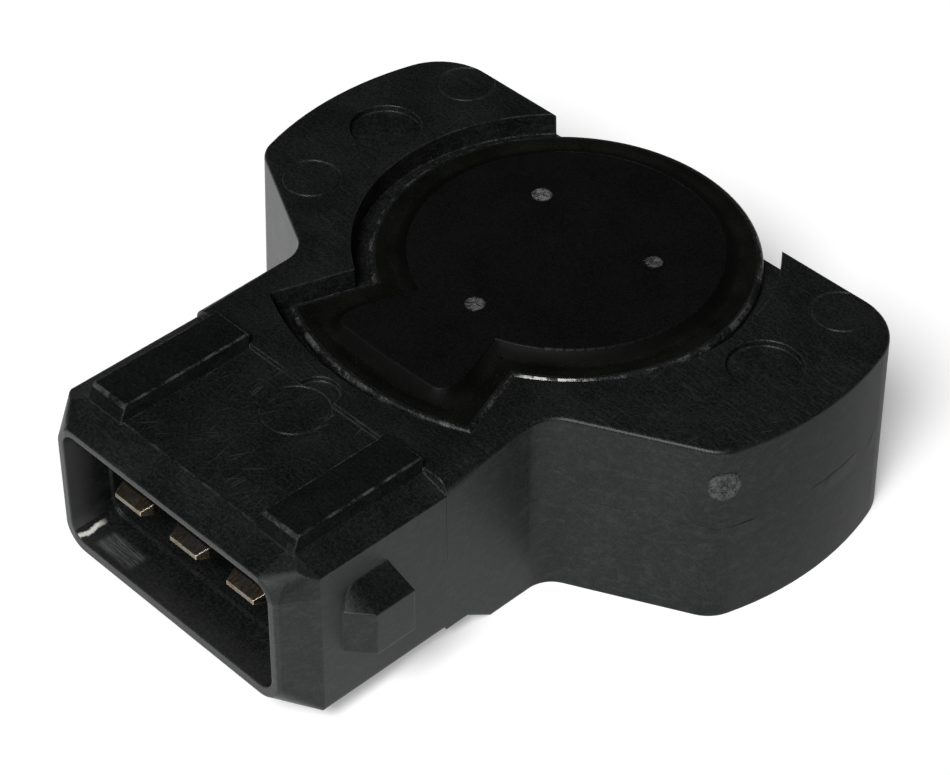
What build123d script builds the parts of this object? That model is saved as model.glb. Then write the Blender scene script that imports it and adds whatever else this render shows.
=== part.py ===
from build123d import *
import os
from math import cos, radians, sin, tan

# Throttle position sensor, in millimetres. The origin lies on the rotor's axis, in the mounting face.
# X runs from ear to ear, the connector points to -Y, and the cover faces +Z.

# Housing: ears and neck
EAR_TOP = 12.9
EAR_RADIUS = 21.6
EAR_BACK_Y = 9.3
EAR_BACK_ROUND = 4.4
EAR_FRONT_ROUND = 2.6
EAR_EDGE_ROUND = 0.25
EAR_DRAFT = 1.3
FLANK_ANGLE = 27.5
NECK_HALF_WIDTH = 10.9
NECK_CORNER_Y = -12.55
NECK_EDGE_ROUND = 0.95
NECK_CORNER_ROUND = 2.0
UNDERSIDE_STEP = 1.3
UNDERSIDE_RAMP_Y = -17.0
UNDERSIDE_RAMP_LENGTH = 1.9

# Housing: connector shroud
SHROUD_REAR_Y = -20.6
SHROUD_LENGTH = 9.6
SHROUD_EDGE_ROUND = 0.4
PANEL_TOP = 12.55
SHOULDER_DROP = 0.55
RAIL_RISE = 1.13
RAIL_INNER_X = 6.0
RAIL_WIDTH = 2.94
RAIL_LEAD = 0.2
RAIL_RAKE = 0.45
RAIL_EDGE_ROUND = 0.15
NOSE_LENGTH = 2.25
MOUTH_HALF_WIDTH = 9.5
MOUTH_BOTTOM = 2.35
MOUTH_TOP = 11.8
MOUTH_ROUND = 1.6
LIP_WALL = 0.45
LIP_FLOOR = 0.7
MOUTH_LEAD_DEPTH = 3.1
SOCKET_STEP = 0.2
SOCKET_DEPTH = 11.25

# Housing: latch nub on each side of the shroud
NUB_REAR_Y = -24.5
NUB_FLAT_LENGTH = 2.9
NUB_RAMP_LENGTH = 1.25
NUB_PROUD = 1.5
NUB_BOTTOM = 5.2
NUB_FACE_HEIGHT = 3.1
NUB_ROOF_RISE = 1.8
NUB_ROOF_FRONT = 0.55
NUB_ROOF_REAR = 0.7
NUB_ROOF_WIDTH = 0.05

# Keyhole-shaped rim around the cover
RIM_RADIUS = 12.25
RIM_TOP = 12.0
RIM_WALL = 1.05
RIM_EDGE_ROUND = 0.3
LEDGE_TOP = 11.3
POCKET_GAP = 1.05
POCKET_SIDE_GAP = 0.45
POCKET_FRONT_GAP = 1.05
TAB_ANGLE = 19.0
TAB_HALF_WIDTH = 7.0
TAB_WIDTH_Y = -13.0
TAB_FRONT_Y = -17.76

# Cover plate and the resin around it
PLATE_TOP = 12.45
PLATE_THICKNESS = 1.5
PLATE_EDGE_ROUND = 0.15
PLATE_FRONT_BOW = 60.0
PLATE_CORNER_ROUND = 0.9
RESIN_WIDTH = 1.25
RESIN_FRONT_WIDTH = 2.3
RESIN_DEPTH = 0.85

# Ears: blind discs on top, threaded inserts and cored pockets below
INSERT_EDGE = 5.2
INSERT_RADIUS = 2.8
INSERT_BORE_RADIUS = 1.65
INSERT_LENGTH = 8.0
INSERT_END_GAP = 0.5
INSERT_GROOVE_DEPTH = 0.3
INSERT_GROOVE_WIDTH = 1.2
EAR_DISC_RADIUS = 2.35
EAR_DISC_DEPTH = 0.45
BOSS_WALL = 1.7
CORE_WALL = 2.0
CORE_ROOF = 2.7
CORE_BODY_GAP = 0.6
NECK_CORE_DEPTH = 4.4
NECK_CORE_REAR_GAP = 1.6
NECK_CORE_LENGTH = 3.4
NECK_RIB = 1.5

# Witness marks of the mould's ejector pins, and the notch in the step behind the shroud
MARK_RADIUS = 1.8
MARK_GROOVE = 0.12
MARK_DEPTH = 0.06
EAR_MARK_X = 16.25
EAR_MARK_Y = 7.05
LOW_MARK_X = -15.6
LOW_MARK_Y = -7.2
PANEL_MARK_Y = -22.4
PANEL_MARK_RADIUS = 2.05
NOTCH_RADIUS = 1.35

# Element board, its tracks and solder
PLATE_SEAT_WIDTH = 0.6
BOARD_HEADROOM = 0.6
BOARD_THICKNESS = 1.0
BOARD_CLEARANCE = 0.1
TRACK_THICKNESS = 0.05
RESISTOR_RADIUS = 6.8
COLLECTOR_RADIUS = 4.7
TRACK_WIDTH = 1.0
LEAD_WIDTH = 1.2
SOLDER_FOOT_RADIUS = 0.95
SOLDER_NECK_RADIUS = 0.62
SOLDER_HEIGHT = 0.35
SOLDER_WALL_GAP = 0.18

# Terminals
TERMINAL_PITCH = 5.0
TERMINAL_Z = 7.35
BLADE_WIDTH = 2.8
BLADE_THICKNESS = 0.8
BLADE_TIP_BEVEL = 0.25
BLADE_TIP_RUN = 0.8
BLADE_TIP_RECESS = 1.3
BLADE_REAR_RUN = 2.9
TAIL_Y = -12.4
TAIL_SIZE = 0.8
TAIL_HOLE_CLEARANCE = 0.08
LINK_WIDTH = 1.4

# Rotor chamber, bearing and seal
CHAMBER_GAP = 0.9
FLOOR_TOP = 3.0
BUSH_RADIUS = 5.0
BUSH_BORE_RADIUS = 4.2
BUSH_LIP = 0.9
BUSH_LIP_WIDTH = 0.4
BEARING_TOP = 5.5
BOSS_RING_WALL = 1.0
WASHER_THICKNESS = 0.3
WASHER_CLEARANCE = 0.1
SEAL_RADIUS = 9.9
SEAL_SECTION_RADIUS = 0.8
SEAL_GROOVE_SIDE_GAP = 0.2
SEAL_RECESS = 0.1

# Rotor
RUNNING_CLEARANCE = 0.05
HUB_BOTTOM = 0.5
FLANGE_EDGE = 0.43
FLANGE_THICKNESS = 1.6
PIVOT_RADIUS = 1.5
PIVOT_END_GAP = 0.35
PIVOT_CLEARANCE = 0.08
SOCKET_RADIUS = 2.8
SOCKET_PILOT_RADIUS = 3.2
SOCKET_PILOT_DEPTH = 1.6
SOCKET_BORE_DEPTH = 4.4
SOCKET_FLAT = 1.9
CLIP_THICKNESS = 0.3
CLIP_HALF_WIDTH = 1.4
CLIP_LENGTH = 2.4
ROTOR_TRAVEL = 90.0
STOP_LUG_ANGLE = 150.0
STOP_LUG_WIDTH = 20.0
STOP_LUG_REACH = 0.55
STOP_RIB_WIDTH = 18.0
STOP_ANGLE_GAP = 2.0
STOP_RADIAL_GAP = 0.2

# Return spring and wiper
SPRING_BOSS_GAP = 0.45
SPRING_WIRE_RADIUS = 0.3
SPRING_TURNS = 2.5
SPRING_PITCH = 0.72
SPRING_FLOOR_GAP = 0.05
SPRING_ANCHOR_LENGTH = 2.4
SPRING_HOOK_RISE = 0.7
SPRING_HOLE_CLEARANCE = 0.12
WIPER_THICKNESS = 0.2
WIPER_HALF_ANGLE = 24.0
WIPER_INNER_RADIUS = 2.2
WIPER_EDGE = 0.3
FINGER_WIDTH = 0.8
FINGER_RUN = 3.2
FINGER_TIP_RUN = 0.5
FINGER_TRACK_GAP = 0.1

# Levels and places that follow from the sizes above
SHROUD_FRONT_Y = SHROUD_REAR_Y - SHROUD_LENGTH
LIP_Y = SHROUD_FRONT_Y - NOSE_LENGTH
SOCKET_BACK_Y = LIP_Y + SOCKET_DEPTH
RAIL_OUTER_X = RAIL_INNER_X + RAIL_WIDTH
NECK_ROOT_Y = NECK_CORNER_Y - NECK_CORNER_ROUND
INSERT_X = EAR_RADIUS - INSERT_EDGE
PLATE_SEAT = PLATE_TOP - PLATE_THICKNESS
BOARD_TOP = PLATE_SEAT - BOARD_HEADROOM
BOARD_SEAT = BOARD_TOP - BOARD_THICKNESS
TRACK_BOTTOM = BOARD_SEAT - TRACK_THICKNESS
RIM_INNER_RADIUS = RIM_RADIUS - RIM_WALL
PLATE_RADIUS = RIM_INNER_RADIUS - RESIN_WIDTH
RECESS_FRONT_Y = TAB_FRONT_Y + RIM_WALL
PLATE_FRONT_Y = RECESS_FRONT_Y + RESIN_FRONT_WIDTH
PLATE_INSET = RIM_WALL + RESIN_WIDTH
WELL_RADIUS = PLATE_RADIUS - PLATE_SEAT_WIDTH
WELL_INSET = PLATE_INSET + PLATE_SEAT_WIDTH
WELL_FRONT_Y = PLATE_FRONT_Y + PLATE_SEAT_WIDTH
TAIL_SLOPE = tan(radians(TAB_ANGLE))
WELL_HALF_WIDTH = TAB_HALF_WIDTH - WELL_INSET / cos(radians(TAB_ANGLE)) + (TAB_WIDTH_Y - TAIL_Y) * TAIL_SLOPE
TAIL_PITCH = WELL_HALF_WIDTH - SOLDER_FOOT_RADIUS - SOLDER_WALL_GAP
BOSS_RADIUS = BUSH_RADIUS + BOSS_RING_WALL
SPRING_RADIUS = BOSS_RADIUS + SPRING_BOSS_GAP + SPRING_WIRE_RADIUS
FLANGE_RADIUS = SPRING_RADIUS + SPRING_WIRE_RADIUS + SPRING_HOLE_CLEARANCE + FLANGE_EDGE
CHAMBER_RADIUS = FLANGE_RADIUS + CHAMBER_GAP
WIPER_OUTER_RADIUS = FLANGE_RADIUS - WIPER_EDGE
FLANGE_BOTTOM = BEARING_TOP + WASHER_THICKNESS
FLANGE_TOP = FLANGE_BOTTOM + FLANGE_THICKNESS
HUB_RADIUS = BUSH_BORE_RADIUS - RUNNING_CLEARANCE
SPRING_BOTTOM = FLOOR_TOP + SPRING_FLOOR_GAP + SPRING_WIRE_RADIUS
SPRING_TOP = SPRING_BOTTOM + SPRING_TURNS * SPRING_PITCH
TAIL_HOLE_RADIUS = TAIL_SIZE / 2 ** 0.5 + TAIL_HOLE_CLEARANCE
TAIL_TOP = BOARD_TOP + SOLDER_HEIGHT
FAR = 2 * EAR_RADIUS


def prism(outline, bottom, top):
    """Stand a flat outline up between two heights."""
    return extrude(Pos(0, 0, bottom) * outline, top - bottom)


def cylinder(radius, bottom, top):
    """Round bar about Z between two heights."""
    return prism(Circle(radius), bottom, top)


def tube(outer, inner, bottom, top):
    """Round tube about Z between two heights."""
    return prism(Circle(outer) - Circle(inner), bottom, top)


def across(profile, front_y, rear_y):
    """Run a profile, drawn in X and Z, from front_y back to rear_y."""
    plane = Plane(origin=(0, rear_y, 0), x_dir=(1, 0, 0), z_dir=(0, -1, 0))
    return extrude(plane * profile, rear_y - front_y)


def box_plan(x0, x1, y0, y1):
    """Flat rectangle between two corners."""
    return Pos((x0 + x1) / 2, (y0 + y1) / 2) * Rectangle(x1 - x0, y1 - y0)


def both_sides(solid):
    """The solid and its mirror image about the YZ plane."""
    return solid + mirror(solid, Plane.YZ)


def sector(outer, inner, start, width):
    """Flat ring sector, from the start angle over the given width in degrees."""
    reach = 2 * outer
    steps = [start + width * k / 2 for k in range(3)]
    fan = [(reach * cos(radians(a)), reach * sin(radians(a))) for a in steps]
    return (Circle(outer) - Circle(inner)) & Polygon((0, 0), *fan, align=None)


def keyhole(radius, inset, front_y, bow):
    """Disc with a flared tab towards the connector.

    Args:
        radius: radius of the disc.
        inset: distance of the tab's sides inside the rim's outer sides.
        front_y: where the tab's front edge crosses the middle.
        bow: radius of the tab's front edge.
    """
    slope = tan(radians(TAB_ANGLE))
    half = TAB_HALF_WIDTH - inset / cos(radians(TAB_ANGLE))
    root = half + TAB_WIDTH_Y * slope
    reach = 2 * front_y
    wide = root - reach * slope
    tab = Polygon((-root, 0), (-wide, reach), (wide, reach), (root, 0), align=None)
    return Circle(radius) + (tab & Pos(0, front_y + bow) * Circle(bow))


def rim_outline():
    """Outer edge of the rim."""
    return keyhole(RIM_RADIUS, 0, TAB_FRONT_Y, -TAB_FRONT_Y)


def recess_outline():
    """Inner edge of the rim, which holds the resin."""
    return keyhole(RIM_INNER_RADIUS, RIM_WALL, RECESS_FRONT_Y, -RECESS_FRONT_Y)


def plate_outline():
    """Edge of the cover plate."""
    outline = keyhole(PLATE_RADIUS, PLATE_INSET, PLATE_FRONT_Y, PLATE_FRONT_BOW)
    corners = outline.vertices().sort_by(Axis.Y)[:2]
    return fillet(corners, PLATE_CORNER_ROUND)


def well_outline(clearance):
    """Edge of the well under the plate, or of the board in it."""
    return keyhole(
        WELL_RADIUS - clearance, WELL_INSET + clearance, WELL_FRONT_Y + clearance, PLATE_FRONT_BOW
    )


def ears_outline():
    """Both ears: a disc cut by the straight back edge and the two flanks."""
    flank_y = NECK_CORNER_Y + (FAR - NECK_HALF_WIDTH) * tan(radians(FLANK_ANGLE))
    half = [(NECK_HALF_WIDTH, NECK_CORNER_Y), (FAR, flank_y), (FAR, FAR)]
    left = [(-x, y) for x, y in reversed(half)]
    outline = Circle(EAR_RADIUS) & Polygon(*half, *left, align=None)
    outline &= box_plan(-FAR, FAR, -FAR, EAR_BACK_Y)
    back = outline.vertices().filter_by(lambda v: v.Y > 0)
    outline = fillet(back, EAR_BACK_ROUND)
    outer = NECK_HALF_WIDTH + EAR_EDGE_ROUND
    front = outline.vertices().filter_by(lambda v: v.Y < 0 and abs(v.X) > outer and v.Y < -EAR_FRONT_ROUND)
    return fillet(front, EAR_FRONT_ROUND)


def ear_blocks():
    """Both ears and the neck's root, drafted towards the top, with their upper outline just broken."""
    outline = ears_outline() + box_plan(-NECK_HALF_WIDTH, NECK_HALF_WIDTH, SHROUD_REAR_Y, 0)
    points = outline.vertices()
    corners = [points.sort_by_distance((side * NECK_HALF_WIDTH, NECK_CORNER_Y, 0))[0] for side in (-1, 1)]
    block = extrude(fillet(corners, NECK_CORNER_ROUND), EAR_TOP, taper=EAR_DRAFT)
    block &= prism(box_plan(-FAR, FAR, NECK_ROOT_Y, FAR), 0, EAR_TOP)
    edge = block.edges().group_by(Axis.Z)[-1]
    return fillet(edge.filter_by(lambda e: abs(e.center().X) > NECK_HALF_WIDTH / 2), EAR_EDGE_ROUND)


def neck_section(y, lean, edge_round):
    """Section of the neck.

    Args:
        y: place along the neck.
        lean: how far each side leans in at the top.
        edge_round: radius of the two upper edges.
    """
    x = NECK_HALF_WIDTH
    profile = Polygon((-x, 0), (x, 0), (x - lean, EAR_TOP), (lean - x, EAR_TOP), align=None)
    profile = fillet(profile.vertices().filter_by(lambda v: v.Y > EAR_TOP / 2), edge_round)
    return Plane.XZ.offset(-y) * profile


def neck():
    """Bar from the ears to the shroud, with upper edges that grow rounder and sides that grow upright."""
    root = neck_section(NECK_ROOT_Y, EAR_TOP * tan(radians(EAR_DRAFT)), EAR_EDGE_ROUND)
    return loft([neck_section(SHROUD_REAR_Y, 0, NECK_EDGE_ROUND), root], ruled=True)


def underside_step():
    """Wedge that lifts the shroud's underside over the mounting face."""
    ramp_front = UNDERSIDE_RAMP_Y - UNDERSIDE_RAMP_LENGTH
    side = Polygon(
        (UNDERSIDE_RAMP_Y, 0),
        (ramp_front, UNDERSIDE_STEP),
        (LIP_Y - NOSE_LENGTH, UNDERSIDE_STEP),
        (LIP_Y - NOSE_LENGTH, 0),
        align=None,
    )
    return extrude(Plane.YZ * side, FAR, both=True)


def shroud_profile():
    """Section of the shroud with its sloped shoulders, drawn in X and Z."""
    x = NECK_HALF_WIDTH
    shoulder = PANEL_TOP - SHOULDER_DROP
    profile = Polygon(
        (-x, UNDERSIDE_STEP),
        (x, UNDERSIDE_STEP),
        (x, shoulder),
        (RAIL_OUTER_X, PANEL_TOP),
        (-RAIL_OUTER_X, PANEL_TOP),
        (-x, shoulder),
        align=None,
    )
    return fillet(profile.vertices().group_by(Axis.Y)[0], SHROUD_EDGE_ROUND)


def nose():
    """Taper from the shroud's section to the lip around the mouth."""
    base = box_plan(-NECK_HALF_WIDTH, NECK_HALF_WIDTH, UNDERSIDE_STEP, PANEL_TOP)
    base = fillet(base.vertices(), SHROUD_EDGE_ROUND)
    front = Plane(origin=(0, SHROUD_FRONT_Y, 0), x_dir=(1, 0, 0), z_dir=(0, -1, 0))
    taper = loft([front * base, front.offset(NOSE_LENGTH) * mouth_outline(0, 0)])
    return taper & across(shroud_profile(), LIP_Y, SHROUD_FRONT_Y)


def rail():
    """Coding rail on the right of the panel, with a raked front."""
    front = SHROUD_FRONT_Y - RAIL_LEAD
    top = PANEL_TOP + RAIL_RISE
    side = Polygon(
        (SHROUD_REAR_Y, PANEL_TOP - RAIL_RISE),
        (SHROUD_REAR_Y, top),
        (front + RAIL_RAKE, top),
        (front, PANEL_TOP),
        (front, PANEL_TOP - RAIL_RISE),
        align=None,
    )
    bar = extrude(Plane.YZ.offset(RAIL_INNER_X) * side, RAIL_WIDTH)
    return fillet(bar.edges().group_by(Axis.Z)[-1], RAIL_EDGE_ROUND)


def shroud():
    """Connector shroud: a bar, its tapered nose and two rails."""
    bar = across(shroud_profile(), SHROUD_FRONT_Y, SHROUD_REAR_Y)
    cut = prism(box_plan(-FAR, FAR, LIP_Y, SHROUD_FRONT_Y), PANEL_TOP - RAIL_RISE, PANEL_TOP - SHOULDER_DROP)
    return bar + nose() + both_sides(rail() - cut)


def mouth_outline(wall, floor):
    """Rounded opening of the nose, drawn in X and Z.

    Args:
        wall: distance inside the lip's outer edge, at the top and the sides.
        floor: the same distance at the bottom.
    """
    half = MOUTH_HALF_WIDTH - wall
    outline = box_plan(-half, half, MOUTH_BOTTOM + floor, MOUTH_TOP - wall)
    return fillet(outline.vertices(), MOUTH_ROUND - wall)


def socket_space():
    """Hollow of the connector, a little wider at its mouth."""
    lead = across(mouth_outline(LIP_WALL, LIP_FLOOR), LIP_Y, LIP_Y + MOUTH_LEAD_DEPTH)
    inner = mouth_outline(LIP_WALL + SOCKET_STEP, LIP_FLOOR + SOCKET_STEP)
    return lead + across(inner, LIP_Y, SOCKET_BACK_Y)


def latch_nubs():
    """Wedge on each side wall that the plug's clip snaps over, with a hipped roof."""
    x0 = NECK_HALF_WIDTH - NUB_PROUD
    x1 = NECK_HALF_WIDTH
    x2 = NECK_HALF_WIDTH + NUB_PROUD
    x3 = NECK_HALF_WIDTH + NUB_ROOF_WIDTH
    rear = NUB_REAR_Y
    flat_y = rear - NUB_FLAT_LENGTH
    ramp_y = flat_y - NUB_RAMP_LENGTH
    face_top = NUB_BOTTOM + NUB_FACE_HEIGHT
    plan = Polygon((x0, ramp_y), (x1, ramp_y), (x2, flat_y), (x2, rear), (x0, rear), align=None)
    front_y = ramp_y + NUB_ROOF_FRONT
    rear_y = rear - NUB_ROOF_REAR
    ridge = Polygon((x0, front_y), (x1, front_y), (x3, flat_y), (x3, rear_y), (x0, rear_y), align=None)
    top = face_top + NUB_ROOF_RISE
    roof = loft([Pos(0, 0, face_top) * plan, Pos(0, 0, top) * ridge], ruled=True)
    return both_sides(prism(plan, NUB_BOTTOM, face_top) + roof)


def rim():
    """Raised keyhole-shaped wall around the cover, rounded on top."""
    wall = prism(rim_outline() - recess_outline(), PLATE_SEAT, RIM_TOP)
    return fillet(wall.edges().group_by(Axis.Z)[-1], RIM_EDGE_ROUND)


def ear_cores():
    """Pockets that thin the ears from below, around the insert bosses."""
    outline = offset(ears_outline(), -CORE_WALL) - Circle(RIM_RADIUS + CORE_BODY_GAP)
    outline &= box_plan(NECK_HALF_WIDTH, FAR, -FAR, FAR)
    outline -= Pos(INSERT_X, 0) * Circle(INSERT_RADIUS + BOSS_WALL)
    return both_sides(prism(outline, 0, EAR_TOP - CORE_ROOF))


def neck_cores():
    """Three pockets under the neck, parted by two ribs."""
    half = NECK_HALF_WIDTH - CORE_WALL
    width = (2 * half - 2 * NECK_RIB) / 3
    rear = NECK_CORNER_Y - NECK_CORE_REAR_GAP + CORE_WALL
    plan = box_plan(-width / 2, width / 2, rear - NECK_CORE_LENGTH, rear)
    middle = prism(plan, 0, NECK_CORE_DEPTH)
    return middle + both_sides(Pos(width + NECK_RIB, 0, 0) * middle)


def witness_marks():
    """Fine rings that the ejector pins leave on the ears and on the panel, and the notch at its rear."""
    ears = [Pos(EAR_MARK_X, EAR_MARK_Y), Pos(-EAR_MARK_X, EAR_MARK_Y), Pos(LOW_MARK_X, LOW_MARK_Y)]
    ring = tube(MARK_RADIUS + MARK_GROOVE, MARK_RADIUS, EAR_TOP - MARK_DEPTH, FAR)
    rings = [place * ring for place in ears]
    wide = tube(PANEL_MARK_RADIUS + MARK_GROOVE, PANEL_MARK_RADIUS, PANEL_TOP - MARK_DEPTH, FAR)
    panel = Pos(0, PANEL_MARK_Y) * wide
    notch = prism(Pos(0, SHROUD_REAR_Y) * Circle(NOTCH_RADIUS), PANEL_TOP, FAR)
    return rings[0] + rings[1] + rings[2] + panel + notch


def track_relief():
    """Shallow floor under the tracks' leads, where the board's tab rests."""
    half = TAIL_PITCH + LEAD_WIDTH / 2 + BOARD_CLEARANCE
    front = TAIL_Y - TAIL_HOLE_RADIUS - BOARD_CLEARANCE
    return prism(box_plan(-half, half, front, 0), TRACK_BOTTOM - TRACK_THICKNESS, BOARD_SEAT)


def stop_ribs():
    """Two ribs in the chamber that the rotor's lug meets at the ends of its travel."""
    inner = FLANGE_RADIUS + STOP_RADIAL_GAP
    first = STOP_LUG_ANGLE - STOP_ANGLE_GAP - STOP_RIB_WIDTH
    last = STOP_LUG_ANGLE + STOP_LUG_WIDTH + ROTOR_TRAVEL + STOP_ANGLE_GAP
    plan = sector(CHAMBER_RADIUS + CORE_BODY_GAP, inner, first, STOP_RIB_WIDTH)
    plan += sector(CHAMBER_RADIUS + CORE_BODY_GAP, inner, last, STOP_RIB_WIDTH)
    return prism(plan, FLOOR_TOP, FLANGE_TOP)


def spring_slot():
    """Slot in the chamber wall that anchors the spring's lower leg."""
    half = SPRING_WIRE_RADIUS + SPRING_HOLE_CLEARANCE
    end = SPRING_RADIUS + SPRING_ANCHOR_LENGTH + SPRING_HOLE_CLEARANCE
    return prism(box_plan(SPRING_RADIUS, end, -half, half), FLOOR_TOP, SPRING_BOTTOM + half)


def housing():
    """The whole moulding."""
    body = ear_blocks() + neck() + cylinder(RIM_RADIUS, 0, PLATE_SEAT) - underside_step()
    pocket_front = TAB_FRONT_Y - POCKET_FRONT_GAP
    pocket = keyhole(RIM_RADIUS + POCKET_GAP, -POCKET_SIDE_GAP, pocket_front, -pocket_front)
    body -= prism(pocket, LEDGE_TOP, FAR)
    body += rim() + shroud() + latch_nubs()
    body -= prism(recess_outline(), PLATE_SEAT, FAR)
    body -= prism(well_outline(0), BOARD_SEAT, FAR)
    body -= track_relief()
    body -= cylinder(CHAMBER_RADIUS, FLOOR_TOP, FAR)
    body += stop_ribs()
    body += cylinder(BOSS_RADIUS, FLOOR_TOP / 2, BEARING_TOP)
    body -= cylinder(BUSH_RADIUS, BUSH_LIP, FAR)
    body -= cylinder(BUSH_RADIUS - BUSH_LIP_WIDTH, 0, FAR)
    body -= spring_slot()
    body -= socket_space()
    side = SEAL_SECTION_RADIUS + SEAL_GROOVE_SIDE_GAP
    body -= tube(SEAL_RADIUS + side, SEAL_RADIUS - side, 0, SEAL_RECESS + 2 * SEAL_SECTION_RADIUS)
    ear = Pos(INSERT_X, 0, 0)
    body -= both_sides(ear * cylinder(INSERT_RADIUS, 0, INSERT_LENGTH + INSERT_END_GAP))
    body -= both_sides(ear * cylinder(EAR_DISC_RADIUS, EAR_TOP - EAR_DISC_DEPTH, FAR))
    body -= ear_cores() + neck_cores()
    body -= witness_marks()
    for index in (-1, 0, 1):
        body -= terminal(index)
    return body


def cover_plate():
    """Flat keyhole-shaped lid."""
    plate = prism(plate_outline(), PLATE_SEAT, PLATE_TOP)
    return fillet(plate.edges().group_by(Axis.Z)[-1], PLATE_EDGE_ROUND)


def potting_resin():
    """Band of resin between the plate and the rim."""
    return prism(recess_outline() - plate_outline(), PLATE_SEAT, PLATE_SEAT + RESIN_DEPTH)


def terminal(index):
    """Flat blade with a sideways link and an upright tail.

    Args:
        index: -1, 0 or 1, from left to right.
    """
    x = index * TERMINAL_PITCH
    tail_x = index * TAIL_PITCH
    half = BLADE_WIDTH / 2
    link = LINK_WIDTH / 2
    tip_y = LIP_Y + BLADE_TIP_RECESS
    bend_y = SOCKET_BACK_Y + BLADE_REAR_RUN
    end_y = TAIL_Y + link
    blade = box_plan(x - half, x + half, tip_y, bend_y)
    foot_y = TAIL_Y - link
    jog = Polygon(
        (x - half, bend_y), (x + half, bend_y), (tail_x + link, foot_y), (tail_x - link, foot_y), align=None
    )
    foot = box_plan(tail_x - link, tail_x + link, foot_y, end_y)
    bottom = TERMINAL_Z - BLADE_THICKNESS / 2
    strip = prism(blade + jog + foot, bottom, bottom + BLADE_THICKNESS)
    tip = strip.faces().sort_by(Axis.Y)[0]
    strip = chamfer(tip.edges(), BLADE_TIP_BEVEL, BLADE_TIP_RUN, reference=tip)
    tail = TAIL_SIZE / 2
    post = box_plan(tail_x - tail, tail_x + tail, TAIL_Y - tail, TAIL_Y + tail)
    return strip + prism(post, TERMINAL_Z, TAIL_TOP)


def tail_places():
    """Where the three tails come up through the board."""
    return [Pos(index * TAIL_PITCH, TAIL_Y) for index in (-1, 0, 1)]


def element_board():
    """Board in the well, with a hole for the pivot and for each tail."""
    outline = well_outline(BOARD_CLEARANCE) - Circle(PIVOT_RADIUS + PIVOT_CLEARANCE)
    for place in tail_places():
        outline -= place * Circle(TAIL_HOLE_RADIUS)
    return prism(outline, BOARD_SEAT, BOARD_TOP)


def track(radius, leads):
    """Printed track under the board: a ring sector or ring, with straight leads to the tails."""
    half = TRACK_WIDTH / 2
    outline = Circle(radius + half) - Circle(radius - half)
    gap = max(leads) - LEAD_WIDTH / 2
    if gap > 0:
        outline -= box_plan(-gap, gap, -FAR, 0)
    for x in leads:
        reach = (radius ** 2 - x ** 2) ** 0.5
        outline += box_plan(x - LEAD_WIDTH / 2, x + LEAD_WIDTH / 2, TAIL_Y, -reach)
    for place in tail_places():
        outline -= place * Circle(TAIL_HOLE_RADIUS)
    return prism(outline, TRACK_BOTTOM, BOARD_SEAT)


def solder_joints():
    """Cone of solder around each tail, on the board."""
    cone = Cone(
        SOLDER_FOOT_RADIUS, SOLDER_NECK_RADIUS, SOLDER_HEIGHT, align=(Align.CENTER, Align.CENTER, Align.MIN)
    )
    cone -= Pos(0, 0, SOLDER_HEIGHT / 2) * Box(TAIL_SIZE, TAIL_SIZE, SOLDER_HEIGHT)
    return Compound(children=[Pos(0, 0, BOARD_TOP) * place * cone for place in tail_places()])


def rotor():
    """Hub with its drive socket, flange with its stop lug, and upper pivot."""
    body = cylinder(HUB_RADIUS, HUB_BOTTOM, FLANGE_TOP) + cylinder(FLANGE_RADIUS, FLANGE_BOTTOM, FLANGE_TOP)
    lug = sector(FLANGE_RADIUS + STOP_LUG_REACH, HUB_RADIUS, STOP_LUG_ANGLE, STOP_LUG_WIDTH)
    body += prism(lug, FLANGE_BOTTOM, FLANGE_TOP)
    body += cylinder(PIVOT_RADIUS, FLANGE_TOP, BOARD_TOP - PIVOT_END_GAP)
    body -= cylinder(SOCKET_PILOT_RADIUS, HUB_BOTTOM, HUB_BOTTOM + SOCKET_PILOT_DEPTH)
    drive = Circle(SOCKET_RADIUS) & box_plan(-FAR, SOCKET_FLAT, -FAR, FAR)
    body -= prism(drive, HUB_BOTTOM, HUB_BOTTOM + SOCKET_BORE_DEPTH)
    turn = SPRING_TURNS * 360
    hook = Rot(0, 0, turn) * Pos(SPRING_RADIUS, 0, 0)
    return body - hook * cylinder(SPRING_WIRE_RADIUS + SPRING_HOLE_CLEARANCE, FLANGE_BOTTOM, FLANGE_TOP)


def drive_clip():
    """Leaf on the socket's flat."""
    plan = box_plan(SOCKET_FLAT - CLIP_THICKNESS, SOCKET_FLAT, -CLIP_HALF_WIDTH, CLIP_HALF_WIDTH)
    top = HUB_BOTTOM + SOCKET_BORE_DEPTH
    return prism(plan, top - CLIP_LENGTH, top)


def return_spring():
    """Torsion spring around the bearing boss, anchored in the wall and hooked into the flange."""
    coil = Pos(0, 0, SPRING_BOTTOM) * Helix(SPRING_PITCH, SPRING_TURNS * SPRING_PITCH, SPRING_RADIUS)
    start = coil @ 0
    wire = sweep(Plane(origin=start, z_dir=coil % 0) * Circle(SPRING_WIRE_RADIUS), path=coil)
    anchor = Plane(origin=start, z_dir=(1, 0, 0)) * Circle(SPRING_WIRE_RADIUS)
    end = coil @ 1
    hook = Plane(origin=end, z_dir=(0, 0, 1)) * Circle(SPRING_WIRE_RADIUS)
    rise = FLANGE_BOTTOM + SPRING_HOOK_RISE - end.Z
    return wire + extrude(anchor, SPRING_ANCHOR_LENGTH) + extrude(hook, rise)


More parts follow.
